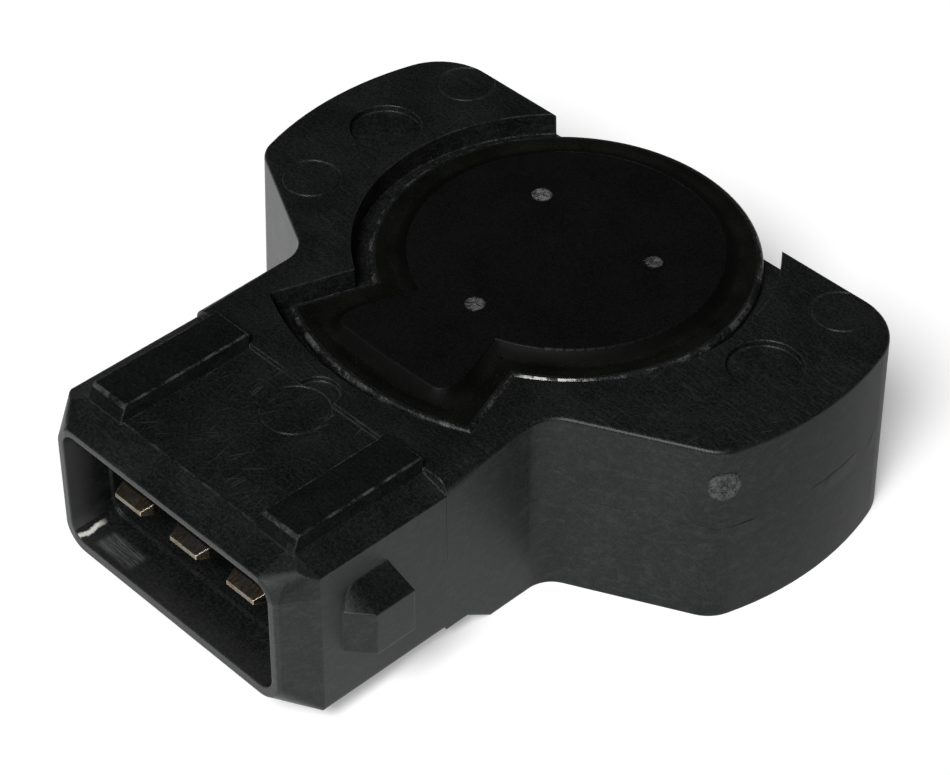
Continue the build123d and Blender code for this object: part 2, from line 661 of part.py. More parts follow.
def wiper():
    """Stamped plate on the flange with one sprung finger for each track."""
    plate = sector(WIPER_OUTER_RADIUS, WIPER_INNER_RADIUS, 90 - WIPER_HALF_ANGLE, 2 * WIPER_HALF_ANGLE)
    body = prism(plate, FLANGE_TOP, FLANGE_TOP + WIPER_THICKNESS)
    low = FLANGE_TOP + WIPER_THICKNESS / 2
    high = TRACK_BOTTOM - FINGER_TRACK_GAP - WIPER_THICKNESS
    line = Polyline((0, low), (FINGER_RUN, high), (FINGER_RUN + FINGER_TIP_RUN, high - WIPER_THICKNESS))
    strip = trace(line, WIPER_THICKNESS)
    for radius in (COLLECTOR_RADIUS, RESISTOR_RADIUS):
        plane = Plane(origin=(0, radius, 0), x_dir=(-1, 0, 0), z_dir=(0, 1, 0))
        body += extrude(plane * strip, FINGER_WIDTH / 2, both=True)
    return body


def thrust_washer():
    """Flat ring between the bearing boss and the flange."""
    return tube(
        BOSS_RADIUS - WASHER_CLEARANCE, HUB_RADIUS + WASHER_CLEARANCE, BEARING_TOP, FLANGE_BOTTOM
    )


def bearing_bush():
    """Plain bush for the hub."""
    return tube(BUSH_RADIUS, BUSH_BORE_RADIUS, BUSH_LIP, BEARING_TOP)


def face_seal():
    """Ring of round section in the mounting face's groove."""
    return Pos(0, 0, SEAL_RECESS + SEAL_SECTION_RADIUS) * Torus(SEAL_RADIUS, SEAL_SECTION_RADIUS)


def insert(side):
    """Threaded insert with a waist groove that locks it in the moulding.

    Args:
        side: -1 for the left ear, 1 for the right one.
    """
    body = tube(INSERT_RADIUS, INSERT_BORE_RADIUS, 0, INSERT_LENGTH)
    middle = INSERT_LENGTH / 2
    half = INSERT_GROOVE_WIDTH / 2
    body -= tube(FAR, INSERT_RADIUS - INSERT_GROOVE_DEPTH, middle - half, middle + half)
    return Pos(side * INSERT_X, 0, 0) * body


NODES = {
    "housing": housing(),
    "cover_plate": cover_plate(),
    "potting_resin": potting_resin(),
    "terminal_left": terminal(-1),
    "terminal_middle": terminal(0),
    "terminal_right": terminal(1),
    "element_board": element_board(),
    "resistor_track": track(RESISTOR_RADIUS, (-TAIL_PITCH, TAIL_PITCH)),
    "collector_track": track(COLLECTOR_RADIUS, (0,)),
    "solder_joints": solder_joints(),
    "rotor": rotor(),
    "drive_clip": drive_clip(),
    "wiper": wiper(),
    "return_spring": return_spring(),
    "thrust_washer": thrust_washer(),
    "bearing_bush": bearing_bush(),
    "face_seal": face_seal(),
    "insert_left": insert(-1),
    "insert_right": insert(1),
}

os.makedirs("parts", exist_ok=True)
for name, solid in NODES.items():
    export_step(solid, os.path.join("parts", name + ".step"))
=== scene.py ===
"""Looks of a throttle position sensor: moulded housing, sealed cover, blade connector and sprung rotor."""
import logging
import math
from dataclasses import dataclass
from enum import Enum
from functools import reduce
from operator import or_
from typing import Any, Callable

import bmesh
import bpy
from bmesh.types import BMFace, BMVert
from bpy.types import Material, NodeSocket, NodeTree, Object
from mathutils import Matrix, Vector


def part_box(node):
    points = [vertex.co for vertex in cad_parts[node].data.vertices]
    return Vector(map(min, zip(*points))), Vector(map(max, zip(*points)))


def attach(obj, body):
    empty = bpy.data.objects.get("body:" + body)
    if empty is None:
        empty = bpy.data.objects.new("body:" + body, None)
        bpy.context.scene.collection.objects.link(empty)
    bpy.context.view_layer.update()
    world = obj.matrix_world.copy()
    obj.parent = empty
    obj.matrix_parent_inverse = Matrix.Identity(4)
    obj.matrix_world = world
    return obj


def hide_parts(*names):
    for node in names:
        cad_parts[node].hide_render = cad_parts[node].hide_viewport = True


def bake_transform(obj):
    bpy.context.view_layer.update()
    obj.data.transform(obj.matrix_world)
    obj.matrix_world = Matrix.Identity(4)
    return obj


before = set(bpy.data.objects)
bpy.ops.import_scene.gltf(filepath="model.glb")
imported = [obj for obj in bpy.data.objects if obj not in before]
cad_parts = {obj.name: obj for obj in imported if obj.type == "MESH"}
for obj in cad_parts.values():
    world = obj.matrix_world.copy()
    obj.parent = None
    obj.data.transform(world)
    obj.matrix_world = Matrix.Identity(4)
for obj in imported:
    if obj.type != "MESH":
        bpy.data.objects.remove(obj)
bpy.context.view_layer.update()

LOG = logging.getLogger("sensor")
MM = 0.001
PHOTO_WIDTH = 950
SENSOR_WIDTH = 36.0
MERGE = 1e-6
NEAR = 1e-5
LEVEL = 0.9
UPRIGHT = 0.2
UPWARDS = (0.0, 0.0, 1.0)

Colour = tuple[float, float, float]
Place = tuple[float, float, float]
Pair = tuple[float, float]


class Body(Enum):
    """Bodies that a piece can ride on."""

    HOUSING = "body"
    ROTOR = "rotor"


class Slot(Enum):
    """Names of the record's finish slots."""

    BLACK_PLASTIC = "black_plastic"
    COVER_PLASTIC = "cover_plastic"
    RESIN = "resin"
    BRASS = "insert_brass"
    SPRING = "spring_steel"


class Part(Enum):
    """What a selection takes up."""

    FACE = "FACE"
    VERTEX = "VERT"


class Socket:
    """One output of a shader node, with arithmetic that adds Math nodes."""

    def __init__(self, sheet: "Sheet", output: NodeSocket) -> None:
        """Hold the sheet and the output."""
        self.sheet = sheet
        self.output = output

    def _math(self, operation: str, first: Any, second: Any) -> "Socket":
        """Add a Math node.

        Args:
            operation: the node's operation.
            first: socket or number.
            second: socket or number.

        Returns:
            The node's value.
        """
        return self.sheet.node("ShaderNodeMath", {"operation": operation}, {0: first, 1: second})

    def __add__(self, other: Any) -> "Socket":
        """Sum."""
        return self._math("ADD", self, other)

    def __radd__(self, other: Any) -> "Socket":
        """Sum with a number on the left."""
        return self._math("ADD", other, self)

    def __sub__(self, other: Any) -> "Socket":
        """Difference."""
        return self._math("SUBTRACT", self, other)

    def __rsub__(self, other: Any) -> "Socket":
        """Difference with a number on the left."""
        return self._math("SUBTRACT", other, self)

    def __mul__(self, other: Any) -> "Socket":
        """Product."""
        return self._math("MULTIPLY", self, other)

    def __rmul__(self, other: Any) -> "Socket":
        """Product with a number on the left."""
        return self._math("MULTIPLY", other, self)

    def __pow__(self, other: Any) -> "Socket":
        """Power."""
        return self._math("POWER", self, other)

    def __abs__(self) -> "Socket":
        """Size without sign."""
        return self._math("ABSOLUTE", self, 0.0)

    def __lt__(self, other: Any) -> "Socket":
        """One where this value is lower, else zero."""
        return self._math("LESS_THAN", self, other)

    def __gt__(self, other: Any) -> "Socket":
        """One where this value is higher, else zero."""
        return self._math("GREATER_THAN", self, other)

    def __or__(self, other: Any) -> "Socket":
        """Larger of two values."""
        return self._math("MAXIMUM", self, other)

    def ease(self, low: float, high: float) -> "Socket":
        """Smooth step.

        Args:
            low: value that gives zero.
            high: value that gives one.

        Returns:
            A mask between zero and one.
        """
        settings = {"interpolation_type": "SMOOTHSTEP"}
        if low < high:
            return self.sheet.node(
                "ShaderNodeMapRange", settings, {"Value": self, "From Min": low, "From Max": high}
            )
        return 1.0 - self.ease(high, low)

    def twin(self, name: str) -> "Socket":
        """Another output of the same node."""
        return Socket(self.sheet, self.output.node.outputs[name])


@dataclass(frozen=True)
class Spot:
    """The three parts of a vector, such as a shaded point's place in millimetres."""

    x: Socket
    y: Socket
    z: Socket

    def reach(self) -> Socket:
        """Distance from the Z axis."""
        return (self.x * self.x + self.y * self.y) ** 0.5


class Sheet:
    """Node tree of one finish, of the floor or of the world."""

    def __init__(self, tree: NodeTree) -> None:
        """Start from an empty tree."""
        tree.nodes.clear()
        self.tree = tree

    def node(
        self, kind: str, settings: dict[str, Any] | None = None, sockets: dict[Any, Any] | None = None,
        output: str | int = 0,
    ) -> Socket:
        """Add a node.

        Args:
            kind: the node's type.
            settings: the node's own options, set first.
            sockets: value or link of each input, by name, identifier or index.
            output: the output to hand on.

        Returns:
            The chosen output.
        """
        made = self.tree.nodes.new(kind)
        for key, value in (settings or {}).items():
            setattr(made, key, value)
        for key, value in (sockets or {}).items():
            target = self._end(made.inputs, key)
            if isinstance(value, Socket):
                self.tree.links.new(value.output, target)
            else:
                target.default_value = value
        return Socket(self, self._end(made.outputs, output))

    @staticmethod
    def _end(ends: Any, key: str | int) -> NodeSocket:
        """Input or output of a node by index, identifier or name."""
        exact = [each for each in ends if each.identifier == key]
        return exact[0] if exact else ends[key]

    def close(self, surface: Socket, kind: str) -> None:
        """Link a shader to a new output node of a kind."""
        end = self.tree.nodes.new(kind)
        self.tree.links.new(surface.output, end.inputs["Surface"])

    def place(
        self, stretch: Place = (1.0, 1.0, 1.0), turn: float = 0.0, shift: Place = (0.0, 0.0, 0.0)
    ) -> Socket:
        """Object coordinates in millimetres.

        Args:
            stretch: factor along each axis.
            turn: rotation about Z in degrees, after the factor.
            shift: offset after both.

        Returns:
            The mapped vector.
        """
        raw = self.node("ShaderNodeTexCoord", output="Object")
        scale = [each / MM for each in stretch]
        spin = (0.0, 0.0, math.radians(turn))
        return self.node(
            "ShaderNodeMapping", None, {"Vector": raw, "Scale": scale, "Rotation": spin, "Location": shift}
        )

    def drawn(self, turn: float, length: float, width: float, shift: float) -> Socket:
        """Object coordinates drawn out along one direction, for streaks.

        Args:
            turn: direction from X in degrees, about Z.
            length: length of a streak in millimetres.
            width: width of a streak in millimetres.
            shift: offset that tells one set of streaks from another.

        Returns:
            The drawn-out vector.
        """
        turned = self.node(
            "ShaderNodeVectorRotate", {"rotation_type": "Z_AXIS"},
            {"Vector": self.place(), "Angle": math.radians(-turn)},
        )
        return self.node(
            "ShaderNodeMapping", None,
            {"Vector": turned, "Scale": (1.0 / length, 1.0 / width, 1.0), "Location": (shift, shift, 0.0)},
        )

    def spot(self, vector: Socket) -> Spot:
        """The three parts of a vector."""
        first = self.node("ShaderNodeSeparateXYZ", None, {"Vector": vector}, "X")
        return Spot(first, first.twin("Y"), first.twin("Z"))

    def up(self) -> Socket:
        """How far a face looks upwards, from minus one to one."""
        return self.spot(self.node("ShaderNodeNewGeometry", output="Normal")).z

    def noise(
        self, vector: Socket, scale: float, detail: float = 2.0, rough: float = 0.5, warp: float = 0.0
    ) -> Socket:
        """Noise between zero and one.

        Args:
            vector: coordinates in millimetres.
            scale: scale per millimetre.
            detail: how many finer layers it has.
            rough: share of the finer layers.
            warp: how far it is distorted.

        Returns:
            The noise.
        """
        sockets = {"Vector": vector, "Scale": scale, "Detail": detail, "Roughness": rough, "Distortion": warp}
        return self.node("ShaderNodeTexNoise", None, sockets)

    def flecks(self, vector: Socket, scale: float, share: float, size: float) -> Socket:
        """Scattered specks.

        Args:
            vector: coordinates in millimetres.
            scale: cells per millimetre.
            share: part of the cells that hold a speck.
            size: radius of a speck in cells.

        Returns:
            A mask.
        """
        near = self.node("ShaderNodeTexVoronoi", None, {"Vector": vector, "Scale": scale}, "Distance")
        lot = self.spot(near.twin("Color")).x
        return near.ease(size, size * 0.4) * (lot < share)

    def mix(self, factor: Any, first: Any, second: Any) -> Socket:
        """Mix two colours.

        Args:
            factor: share of the second.
            first: colour or socket.
            second: colour or socket.

        Returns:
            The mixed colour.
        """
        ends = {"Factor_Float": factor, "A_Color": self._rgba(first), "B_Color": self._rgba(second)}
        return self.node("ShaderNodeMix", {"data_type": "RGBA"}, ends, "Result_Color")

    @staticmethod
    def _rgba(colour: Any) -> Any:
        """A socket as it is, or a colour with its alpha."""
        return colour if isinstance(colour, Socket) else (*colour, 1.0)

    def bevel(self, radius: float) -> Socket:
        """Normal that rounds sharp edges by a radius in millimetres."""
        return self.node("ShaderNodeBevel", {"samples": 6}, {"Radius": radius * MM}, "Normal")

    def bump(
        self, height: Socket, depth: float, normal: Socket | None = None, strength: float = 1.0
    ) -> Socket:
        """Normal from a height.

        Args:
            height: height between zero and one.
            depth: depth of a full step in millimetres.
            normal: normal to start from.
            strength: share of the effect.

        Returns:
            The bent normal.
        """
        sockets: dict[Any, Any] = {"Height": height, "Distance": depth * MM, "Strength": strength}
        if normal is not None:
            sockets["Normal"] = normal
        return self.node("ShaderNodeBump", None, sockets)

    def edge(self, normal: Socket) -> Socket:
        """Mask of edges, from how far a rounded normal leans.

        Args:
            normal: the rounded normal.

        Returns:
            A mask.
        """
        flat = self.node("ShaderNodeNewGeometry", output="Normal")
        pair = {0: normal, 1: flat}
        lean = self.node("ShaderNodeVectorMath", {"operation": "DOT_PRODUCT"}, pair, "Value")
        return (1.0 - lean).ease(0.01, 0.16)


def new_finish(name: str, **shader: Any) -> tuple[Material, Sheet, Callable[..., None]]:
    """Material with one Principled shader.

    Args:
        name: name of the material.
        shader: values that are the same all over, by socket name with _ for a space.

    Returns:
        The material, its sheet, and a function that links sockets to the shader.
    """
    material = bpy.data.materials.new(name)
    material.use_nodes = True
    sheet = Sheet(material.node_tree)
    constants = {key.replace("_", " "): value for key, value in shader.items()}
    shaded = sheet.node("ShaderNodeBsdfPrincipled", None, constants)
    sheet.close(shaded, "ShaderNodeOutputMaterial")

    def dress(**links: Socket) -> None:
        """Link sockets to the shader by name."""
        for key, value in links.items():
            sheet.tree.links.new(value.output, shaded.output.node.inputs[key.replace("_", " ")])

    return material, sheet, dress


@dataclass(frozen=True)
class HousingPlastic:
    """Black glass-filled moulding with fine grain, mould lines, edges lightened by wear and by painted
    highlight, and painted light in the mouth and on the ears' wall; places in millimetres.
    """

    dark: Colour = (0.0012, 0.0015, 0.0014)
    light: Colour = (0.0195, 0.0207, 0.0200)
    worn: Colour = (0.11, 0.115, 0.11)
    # colour of the painted highlights
    painted_highlight: Colour = (0.68, 0.68, 0.63)
    edge_round: float = 0.2
    parting_z: float = 7.0
    parting_fade: float = 1.4
    shroud_y: float = -20.6
    shroud_side: float = 10.5
    rim_band: Pair = (11.2, 12.08)
    rim_reach: float = 13.5
    pocket_band: Pair = (12.9, 13.7)
    pocket_front: float = -7.0
    tab_half_width: float = 8.6
    tab_front: float = -19.2
    # place of the painted reflection on the mouth's floor
    reflection_low: Place = (-7.7, -32.2, 2.6)
    reflection_high: Place = (-4.1, -30.3, 3.5)
    reflection_fade: Place = (0.5, 0.5, 0.2)
    mouth_half_width: float = 9.65
    mouth_left: float = -8.8
    mouth_band: Pair = (2.5, 11.75)
    mouth_back: float = -26.3
    lead_end: float = -29.3
    lip: float = -32.3
    # places of the painted highlights: a stretch of the rim's edge and the mouth's corner
    rim_glint_across: Pair = (6.2, 10.0)
    rim_glint_along: Pair = (-10.6, -7.4)
    glint_centre: Pair = (-8.4, 3.16)
    glint_along: Pair = (-32.4, -30.2)
    rail_inner: float = 5.5
    rail_root: float = 11.9
    rail_foot: float = 12.6
    rail_top: float = 13.4
    panel_half_width: float = 6.0
    panel_front: float = -30.2
    panel_z: float = 12.1
    nose_line_z: float = 12.3
    nose_corner: Place = (8.3, -30.2, 10.5)
    nub_low: Place = (10.95, -28.8, 8.3)
    nub_high: Place = (12.6, -27.3, 10.2)
    scratched_ear: tuple[Pair, Pair] = ((9.0, 13.0), (6.0, -2.0))
    lighter_ear: tuple[Pair, Pair] = ((8.0, 14.0), (10.0, -2.0))
    scratch_turns: tuple[Pair, ...] = ((48.0, 3.0), (62.0, 11.0), (84.0, 17.0), (102.0, 23.0))
    scuff_turns: tuple[Place, ...] = (
        (24.0, 0.0, 0.5), (-15.0, 5.0, 0.55), (70.0, 9.0, 0.57), (118.0, 14.0, 0.58)
    )

    def material(self) -> Material:
        """Build the material.

        Returns:
            The material.
        """
        made, s, dress = new_finish(
            "housing_plastic", IOR=1.5, Specular_IOR_Level=0.33, Specular_Tint=(0.93, 1.0, 0.98, 1.0)
        )
        mm = s.place()
        at = s.spot(mm)
        up = s.up()
        top = up.ease(0.75, 0.95)
        wall = abs(up).ease(0.35, 0.15)
        cloud = s.noise(mm, 0.32, 3.0)
        grain = s.noise(mm, 5.5, 3.0, 0.65)
        fine = s.noise(mm, 12.0, 2.0, 0.6)
        rim = self._rim(at)
        # crest is the rim's rounded edge; it and the sparkle flecks are lightened below as painted glints
        crest = rim * (up > 0.15) * (up < 0.985)
        rail = (at.z > self.rail_foot) * (at.y < self.shroud_y)
        scuff = self._scuffs(s, at) * top * (1.0 - rail * 0.7)
        blotch = s.noise(s.place((1.0, 1.0, 1.7)), 1.3, 5.0, 0.75).ease(0.44, 0.72) * wall
        crust = s.noise(mm, 0.9, 5.0, 0.8).ease(0.42, 0.62) * rim
        sparkle = s.flecks(mm, 5.5, 0.35, 0.36) * crust
        specks = s.flecks(mm, 3.4, 0.07, 0.2) * top + s.flecks(mm, 6.0, 0.05, 0.3) * 0.5
        rounded = s.bevel(self.edge_round)
        # edges lighter partly from wear and partly as painted highlight
        edge = self._edge_wear_and_highlights(s, at, up, rounded)
        tone = (cloud * 0.2 + grain * 0.45 + fine * 0.35).ease(0.36, 0.74) + scuff * 0.4 + blotch * 0.7
        shade = s.mix(tone * (1.0 - rail * 0.45), self.dark, self.light)
        # lighter colour: real specks, crust and scratches, with painted highlights on edges, painted glints
        # of sparkle on the rim's crest, painted light on the ears' wall and in the mouth's lead-in, and a
        # painted reflection on the mouth's floor
        wear_and_painted_light = edge * 0.55 + specks * 0.2 + crust * 0.06 + sparkle * 0.45 + crest * crust * 0.45
        wear_and_painted_light = wear_and_painted_light + self._scratches(s, at) * top * 0.42 + self._pocket_painted_light(at) * wall * 0.04
        wear_and_painted_light = wear_and_painted_light + self._painted_floor_reflection(s, at) * 0.7 + self._mouth_painted_light(at)
        worn = s.mix(wear_and_painted_light.ease(0.0, 1.0), shade, self.worn)
        rough = 0.30 + cloud * 0.08 + grain * 0.1 - edge * 0.14 - sparkle * 0.15 + self._nose(at) * 0.2
        height = grain * (0.4 + crust * 1.4) + fine * 0.2 + scuff * 0.3 + sparkle * 0.8
        height = height + self._mould_lines(s, at) * wall
        dress(
            # painted highlights on the mouth's corner and the rim's edge, mixed into the base colour
            Base_Color=s.mix(self._painted_highlights(s, at, crest), worn, self.painted_highlight),
            Roughness=rough,
            Normal=s.bump(height, 0.035, s.bump(self._lean(at), 1.0, rounded), 0.6),
        )
        return made

    def _rim(self, at: Spot) -> Socket:
        """Mask of the rim and of the ledge below it.

        Args:
            at: place of the point.

        Returns:
            A mask.
        """
        disc = at.reach() < self.rim_reach
        tab = (abs(at.x) < self.tab_half_width) * (at.y > self.tab_front) * (at.y < 0.0)
        return (disc | tab) * (at.z > self.rim_band[0]) * (at.z < self.rim_band[1])

    def _pocket_painted_light(self, at: Spot) -> Socket:
        """Mask of the ears' wall around the rim, where painted light lightens the shaded wall.

        Args:
            at: place of the point.

        Returns:
            A mask.
        """
        reach = at.reach()
        band = (reach > self.pocket_band[0]) * (reach < self.pocket_band[1])
        return band * (at.z > self.rim_band[0]) * (at.y > self.pocket_front)

    def _edge_wear_and_highlights(self, s: Sheet, at: Spot, up: Socket, rounded: Socket) -> Socket:
        """Mask of edges lightened partly by wear and partly as painted highlight: full on the rails' tops,
        little at their feet and in the mouth.

        Args:
            s: the sheet.
            at: place of the point.
            up: how far the face looks upwards.
            rounded: normal rounded at the edges.

        Returns:
            A mask.
        """
        shroud = at.y < self.shroud_y
        foot = shroud * (at.z < self.rail_top) * (at.z > self.rail_root) * (abs(at.x) > self.rail_inner)
        mouth = (at.y < self.mouth_back) * (abs(at.x) < self.mouth_half_width - self.edge_round)
        calm = foot | (mouth * (at.z < self.mouth_band[1]))
        share = 0.65 - calm * 0.55 + shroud * (at.z > self.rail_top) * 0.5
        # painted highlight along the rails' rounded top edges
        rail = (at.z > self.rail_top) * (up > 0.2) * (up < 0.97)
        # painted highlight line along the panel's front edge
        front = abs(at.y - self.panel_front).ease(0.12, 0.05) * 0.6
        front = front * (abs(at.x) < self.panel_half_width) * (at.z > self.nose_line_z)
        broken = s.noise(s.place(), 0.45, 6.0, 0.8).ease(0.4, 0.6) * 0.92 + 0.08
        return ((s.edge(rounded) * share) | rail | front) * broken

    def _nose(self, at: Spot) -> Socket:
        """Mask of the nose's right front corner, which is duller."""
        x, y, z = self.nose_corner
        return (at.x > x) * (at.y < y) * (at.z > z)

    def _mould_lines(self, s: Sheet, at: Spot) -> Socket:
        """Height of what the mould leaves: a broken parting step and the shroud's seam.

        Args:
            s: the sheet.
            at: place of the point.

        Returns:
            A height.
        """
        sharp = at.z.ease(self.parting_z + 0.05, self.parting_z - 0.05)
        fading = at.z.ease(self.parting_z - self.parting_fade, self.parting_z - 0.1)
        step = sharp * fading * (at.y > self.shroud_y) * s.noise(s.place(), 0.2, 2.0).ease(0.5, 0.6)
        seam = abs(at.y - self.shroud_y).ease(0.06, 0.02) * (abs(at.x) > self.shroud_side)
        return step * 3.0 - seam * (at.z > self.parting_z) * 0.6

    def _lean(self, at: Spot) -> Socket:
        """Height that tips the rails' sides and the nub's ramp upwards, as they are rounded off.

        Args:
            at: place of the point.

        Returns:
            A height in millimetres.
        """
        rails = ((at.z - self.rail_foot) | 0.0) * (at.y < self.shroud_y)
        low, high = self.nub_low, self.nub_high
        ramp = ((at.z - low[2]) | 0.0) * (at.z < high[2])
        beside = (at.x > low[0]) * (at.x < high[0]) * (at.y > low[1]) * (at.y < high[1])
        return (rails + ramp * beside) * -1.0

    def _painted_floor_reflection(self, s: Sheet, at: Spot) -> Socket:
        """Mask of a painted reflection on the mouth's floor, broken into streaks across like tool marks.

        Args:
            s: the sheet.
            at: place of the point.

        Returns:
            A mask.
        """
        rows = zip((at.x, at.y, at.z), self.reflection_low, self.reflection_high, self.reflection_fade)
        inside = [axis.ease(low, low + fade) * axis.ease(high, high - fade) for axis, low, high, fade in rows]
        streak = s.noise(s.place((0.5, 9.0, 1.0)), 1.0, 3.0, 0.7)
        return math.prod(inside) * streak.ease(0.3, 0.75)

    def _mouth_painted_light(self, at: Spot) -> Socket:
        """Mask of painted light in the mouth's lead-in: lightest at the lip, where light comes in, and
        stronger on the left wall.

        Args:
            at: place of the point.

        Returns:
            A mask.
        """
        bottom, top = self.mouth_band
        inside = (abs(at.x) < self.mouth_half_width) * (at.z > bottom) * (at.z < top)
        # painted light, fading inwards from the lip, stronger on the left wall
        return inside * at.y.ease(self.lead_end, self.lip) * ((at.x < self.mouth_left) * 0.3 + 0.2)

    def _painted_highlights(self, s: Sheet, at: Spot, crest: Socket) -> Socket:
        """Mask of painted highlights: a glint along the mouth's corner and a glint along a stretch of the
        rim's edge.

        Args:
            s: the sheet.
            at: place of the point.
            crest: mask of the rim's edge.

        Returns:
            A mask.
        """
        sway = s.noise(s.place((0.0, 1.0, 0.0)), 0.7, 1.0) * 0.8 - 0.4
        across = at.x - self.glint_centre[0] + sway
        above = at.z - self.glint_centre[1]
        reach = (across * across + above * above) ** 0.5 + s.noise(s.place(), 4.0, 3.0, 0.7) * 0.25
        front, back = self.glint_along
        # painted glint along the mouth's corner fillet
        corner = reach.ease(0.34, 0.2) * at.y.ease(back, back - 0.9) * (at.y > front)
        left, right = self.rim_glint_across
        broken = s.noise(s.place(), 2.2, 3.0, 0.7).ease(0.4, 0.56)
        # painted highlight along a stretch of the rim's edge
        streak = crest * broken * at.x.ease(left, left + 0.5) * at.x.ease(right, right - 2.0)
        near, far = self.rim_glint_along
        return corner | (streak * (at.y > near) * (at.y < far))

    def _scratches(self, s: Sheet, at: Spot) -> Socket:
        """Mask of fine scratches, on the panel and on the right ear.

        Args:
            s: the sheet.
            at: place of the point.

        Returns:
            A mask.
        """
        panel = (abs(at.x) < self.panel_half_width) * (at.y > self.panel_front) * (at.y < self.shroud_y)
        ear = at.x.ease(*self.scratched_ear[0]) * at.y.ease(*self.scratched_ear[1])
        lines = [s.noise(s.drawn(turn, 2.4, 0.09, shift), 1.0, 1.0) for turn, shift in self.scratch_turns]
        marks = reduce(or_, [line.ease(0.66, 0.8) for line in lines])
        patch = s.noise(s.place(), 0.35, 2.0).ease(0.36, 0.56)
        return marks * patch * (panel + ear * 0.8) * (at.z > self.panel_z) * (at.z < self.rail_top)

    def _scuffs(self, s: Sheet, at: Spot) -> Socket:
        """Mask of blurred handling scuffs, thickest in patches, and made stronger over the right ear, which
        this lightens.

        Args:
            s: the sheet.
            at: place of the point.

        Returns:
            A mask.
        """
        patch = s.noise(s.place(shift=(7.0, 3.0, 0.0)), 0.16, 2.0).ease(0.35, 0.65)
        patch = patch + at.x.ease(*self.lighter_ear[0]) * at.y.ease(*self.lighter_ear[1]) * 0.8
        streaks = []
        for turn, shift, low in self.scuff_turns:
            vector = s.place((0.9, 5.0, 1.0), turn, (shift, -shift, 0.0))
            streaks.append(s.noise(vector, 1.0, 4.0, 0.7, 0.8).ease(low, low + 0.2))
        return sum(streaks) * (patch * 0.8 + 0.2)


@dataclass(frozen=True)
class CoverPlastic:
    """Deep black cover, smoother than the housing, with a few pale specks."""

    dark: Colour = (0.0006, 0.0008, 0.0007)
    light: Colour = (0.0044, 0.0049, 0.0045)
    pale: Colour = (0.03, 0.031, 0.03)

    def material(self) -> Material:
        """Build the material.

        Returns:
            The material.
        """
        made, s, dress = new_finish("cover_plastic_finish", IOR=1.5, Specular_IOR_Level=0.16)
        mm = s.place()
        cloud = s.noise(mm, 0.3, 3.0)
        grain = s.noise(mm, 8.0, 2.0, 0.6)
        rounded = s.bevel(0.08)
        edge = s.edge(rounded) * s.noise(mm, 1.3, 2.0).ease(0.35, 0.6)
        specks = s.flecks(mm, 1.1, 0.05, 0.07)
        shade = s.mix((cloud * 0.25 + grain * 0.75).ease(0.3, 0.7), self.dark, self.light)
        colour = s.mix((edge * 0.3 + specks * 0.7).ease(0.0, 1.0), shade, self.pale)
        dress(
            Base_Color=colour,
            Roughness=0.46 + cloud * 0.08 + grain * 0.08,
            Normal=s.bump(grain, 0.012, rounded, 0.4),
        )
        return made


@dataclass(frozen=True)
class PottingResin:
    """Satin olive-black resin with an uneven, dusty skin."""

    dark: Colour = (0.0008, 0.0011, 0.0007)
    light: Colour = (0.0066, 0.0075, 0.0053)
    dusty: Colour = (0.05, 0.05, 0.045)

    def material(self) -> Material:
        """Build the material.

        Returns:
            The material.
        """
        made, s, dress = new_finish("resin_skin", IOR=1.5, Specular_IOR_Level=0.1)
        mm = s.place()
        swell = s.noise(mm, 0.45, 2.0)
        dust = s.noise(mm, 9.0, 2.0, 0.7)
        flat = s.up().ease(0.86, 0.995)
        specks = s.flecks(mm, 2.4, 0.03, 0.1) + s.flecks(mm, 5.0, 0.12, 0.3) * flat * 0.25
        # painted shade: sloped faces are darker than flat ones; the dust specks lie on the flat
        tone = (swell * 0.4 + dust * 0.6).ease(0.3, 0.7) * (flat * 0.8 + 0.2)
        shade = s.mix(tone, self.dark, self.light)
        dress(
            Base_Color=s.mix(specks * 0.8, shade, self.dusty),
            Roughness=0.52 + dust * 0.15,
            Normal=s.bump(swell * 0.6 + dust * 0.4, 0.05, None, 0.5),
        )
        return made


@dataclass(frozen=True)
class BrokenPlastic:
    """Torn, pale plastic where a gate was broken off."""

    name: str
    centre: Place
    radius: float
    dark: Colour
    pale: Colour
    coverage: float = 0.5

    def material(self) -> Material:
        """Build the material.

        Returns:
            The material.
        """
        made, s, dress = new_finish(self.name, IOR=1.5, Specular_IOR_Level=0.33)
        mm = s.place(shift=(-self.centre[0], -self.centre[1], -self.centre[2]))
        at = s.spot(mm)
        reach = (at.x * at.x + at.y * at.y + at.z * at.z) ** 0.5
        torn = s.noise(mm, 3.2, 4.0, 0.65)
        fine = s.noise(mm, 14.0, 2.0, 0.6)
        pale = (torn * 0.7 + fine * 0.3).ease(self.coverage - 0.14, self.coverage + 0.12)
        pale = pale * (reach + torn * 0.2).ease(self.radius * 1.22, self.radius * 0.95)
        dress(
            Base_Color=s.mix(pale, self.dark, self.pale),
            Roughness=0.36 + pale * 0.2 + fine * 0.1,
            Normal=s.bump(torn * 0.6 + fine * 0.4, 0.05, None, 0.9),
        )
        return made


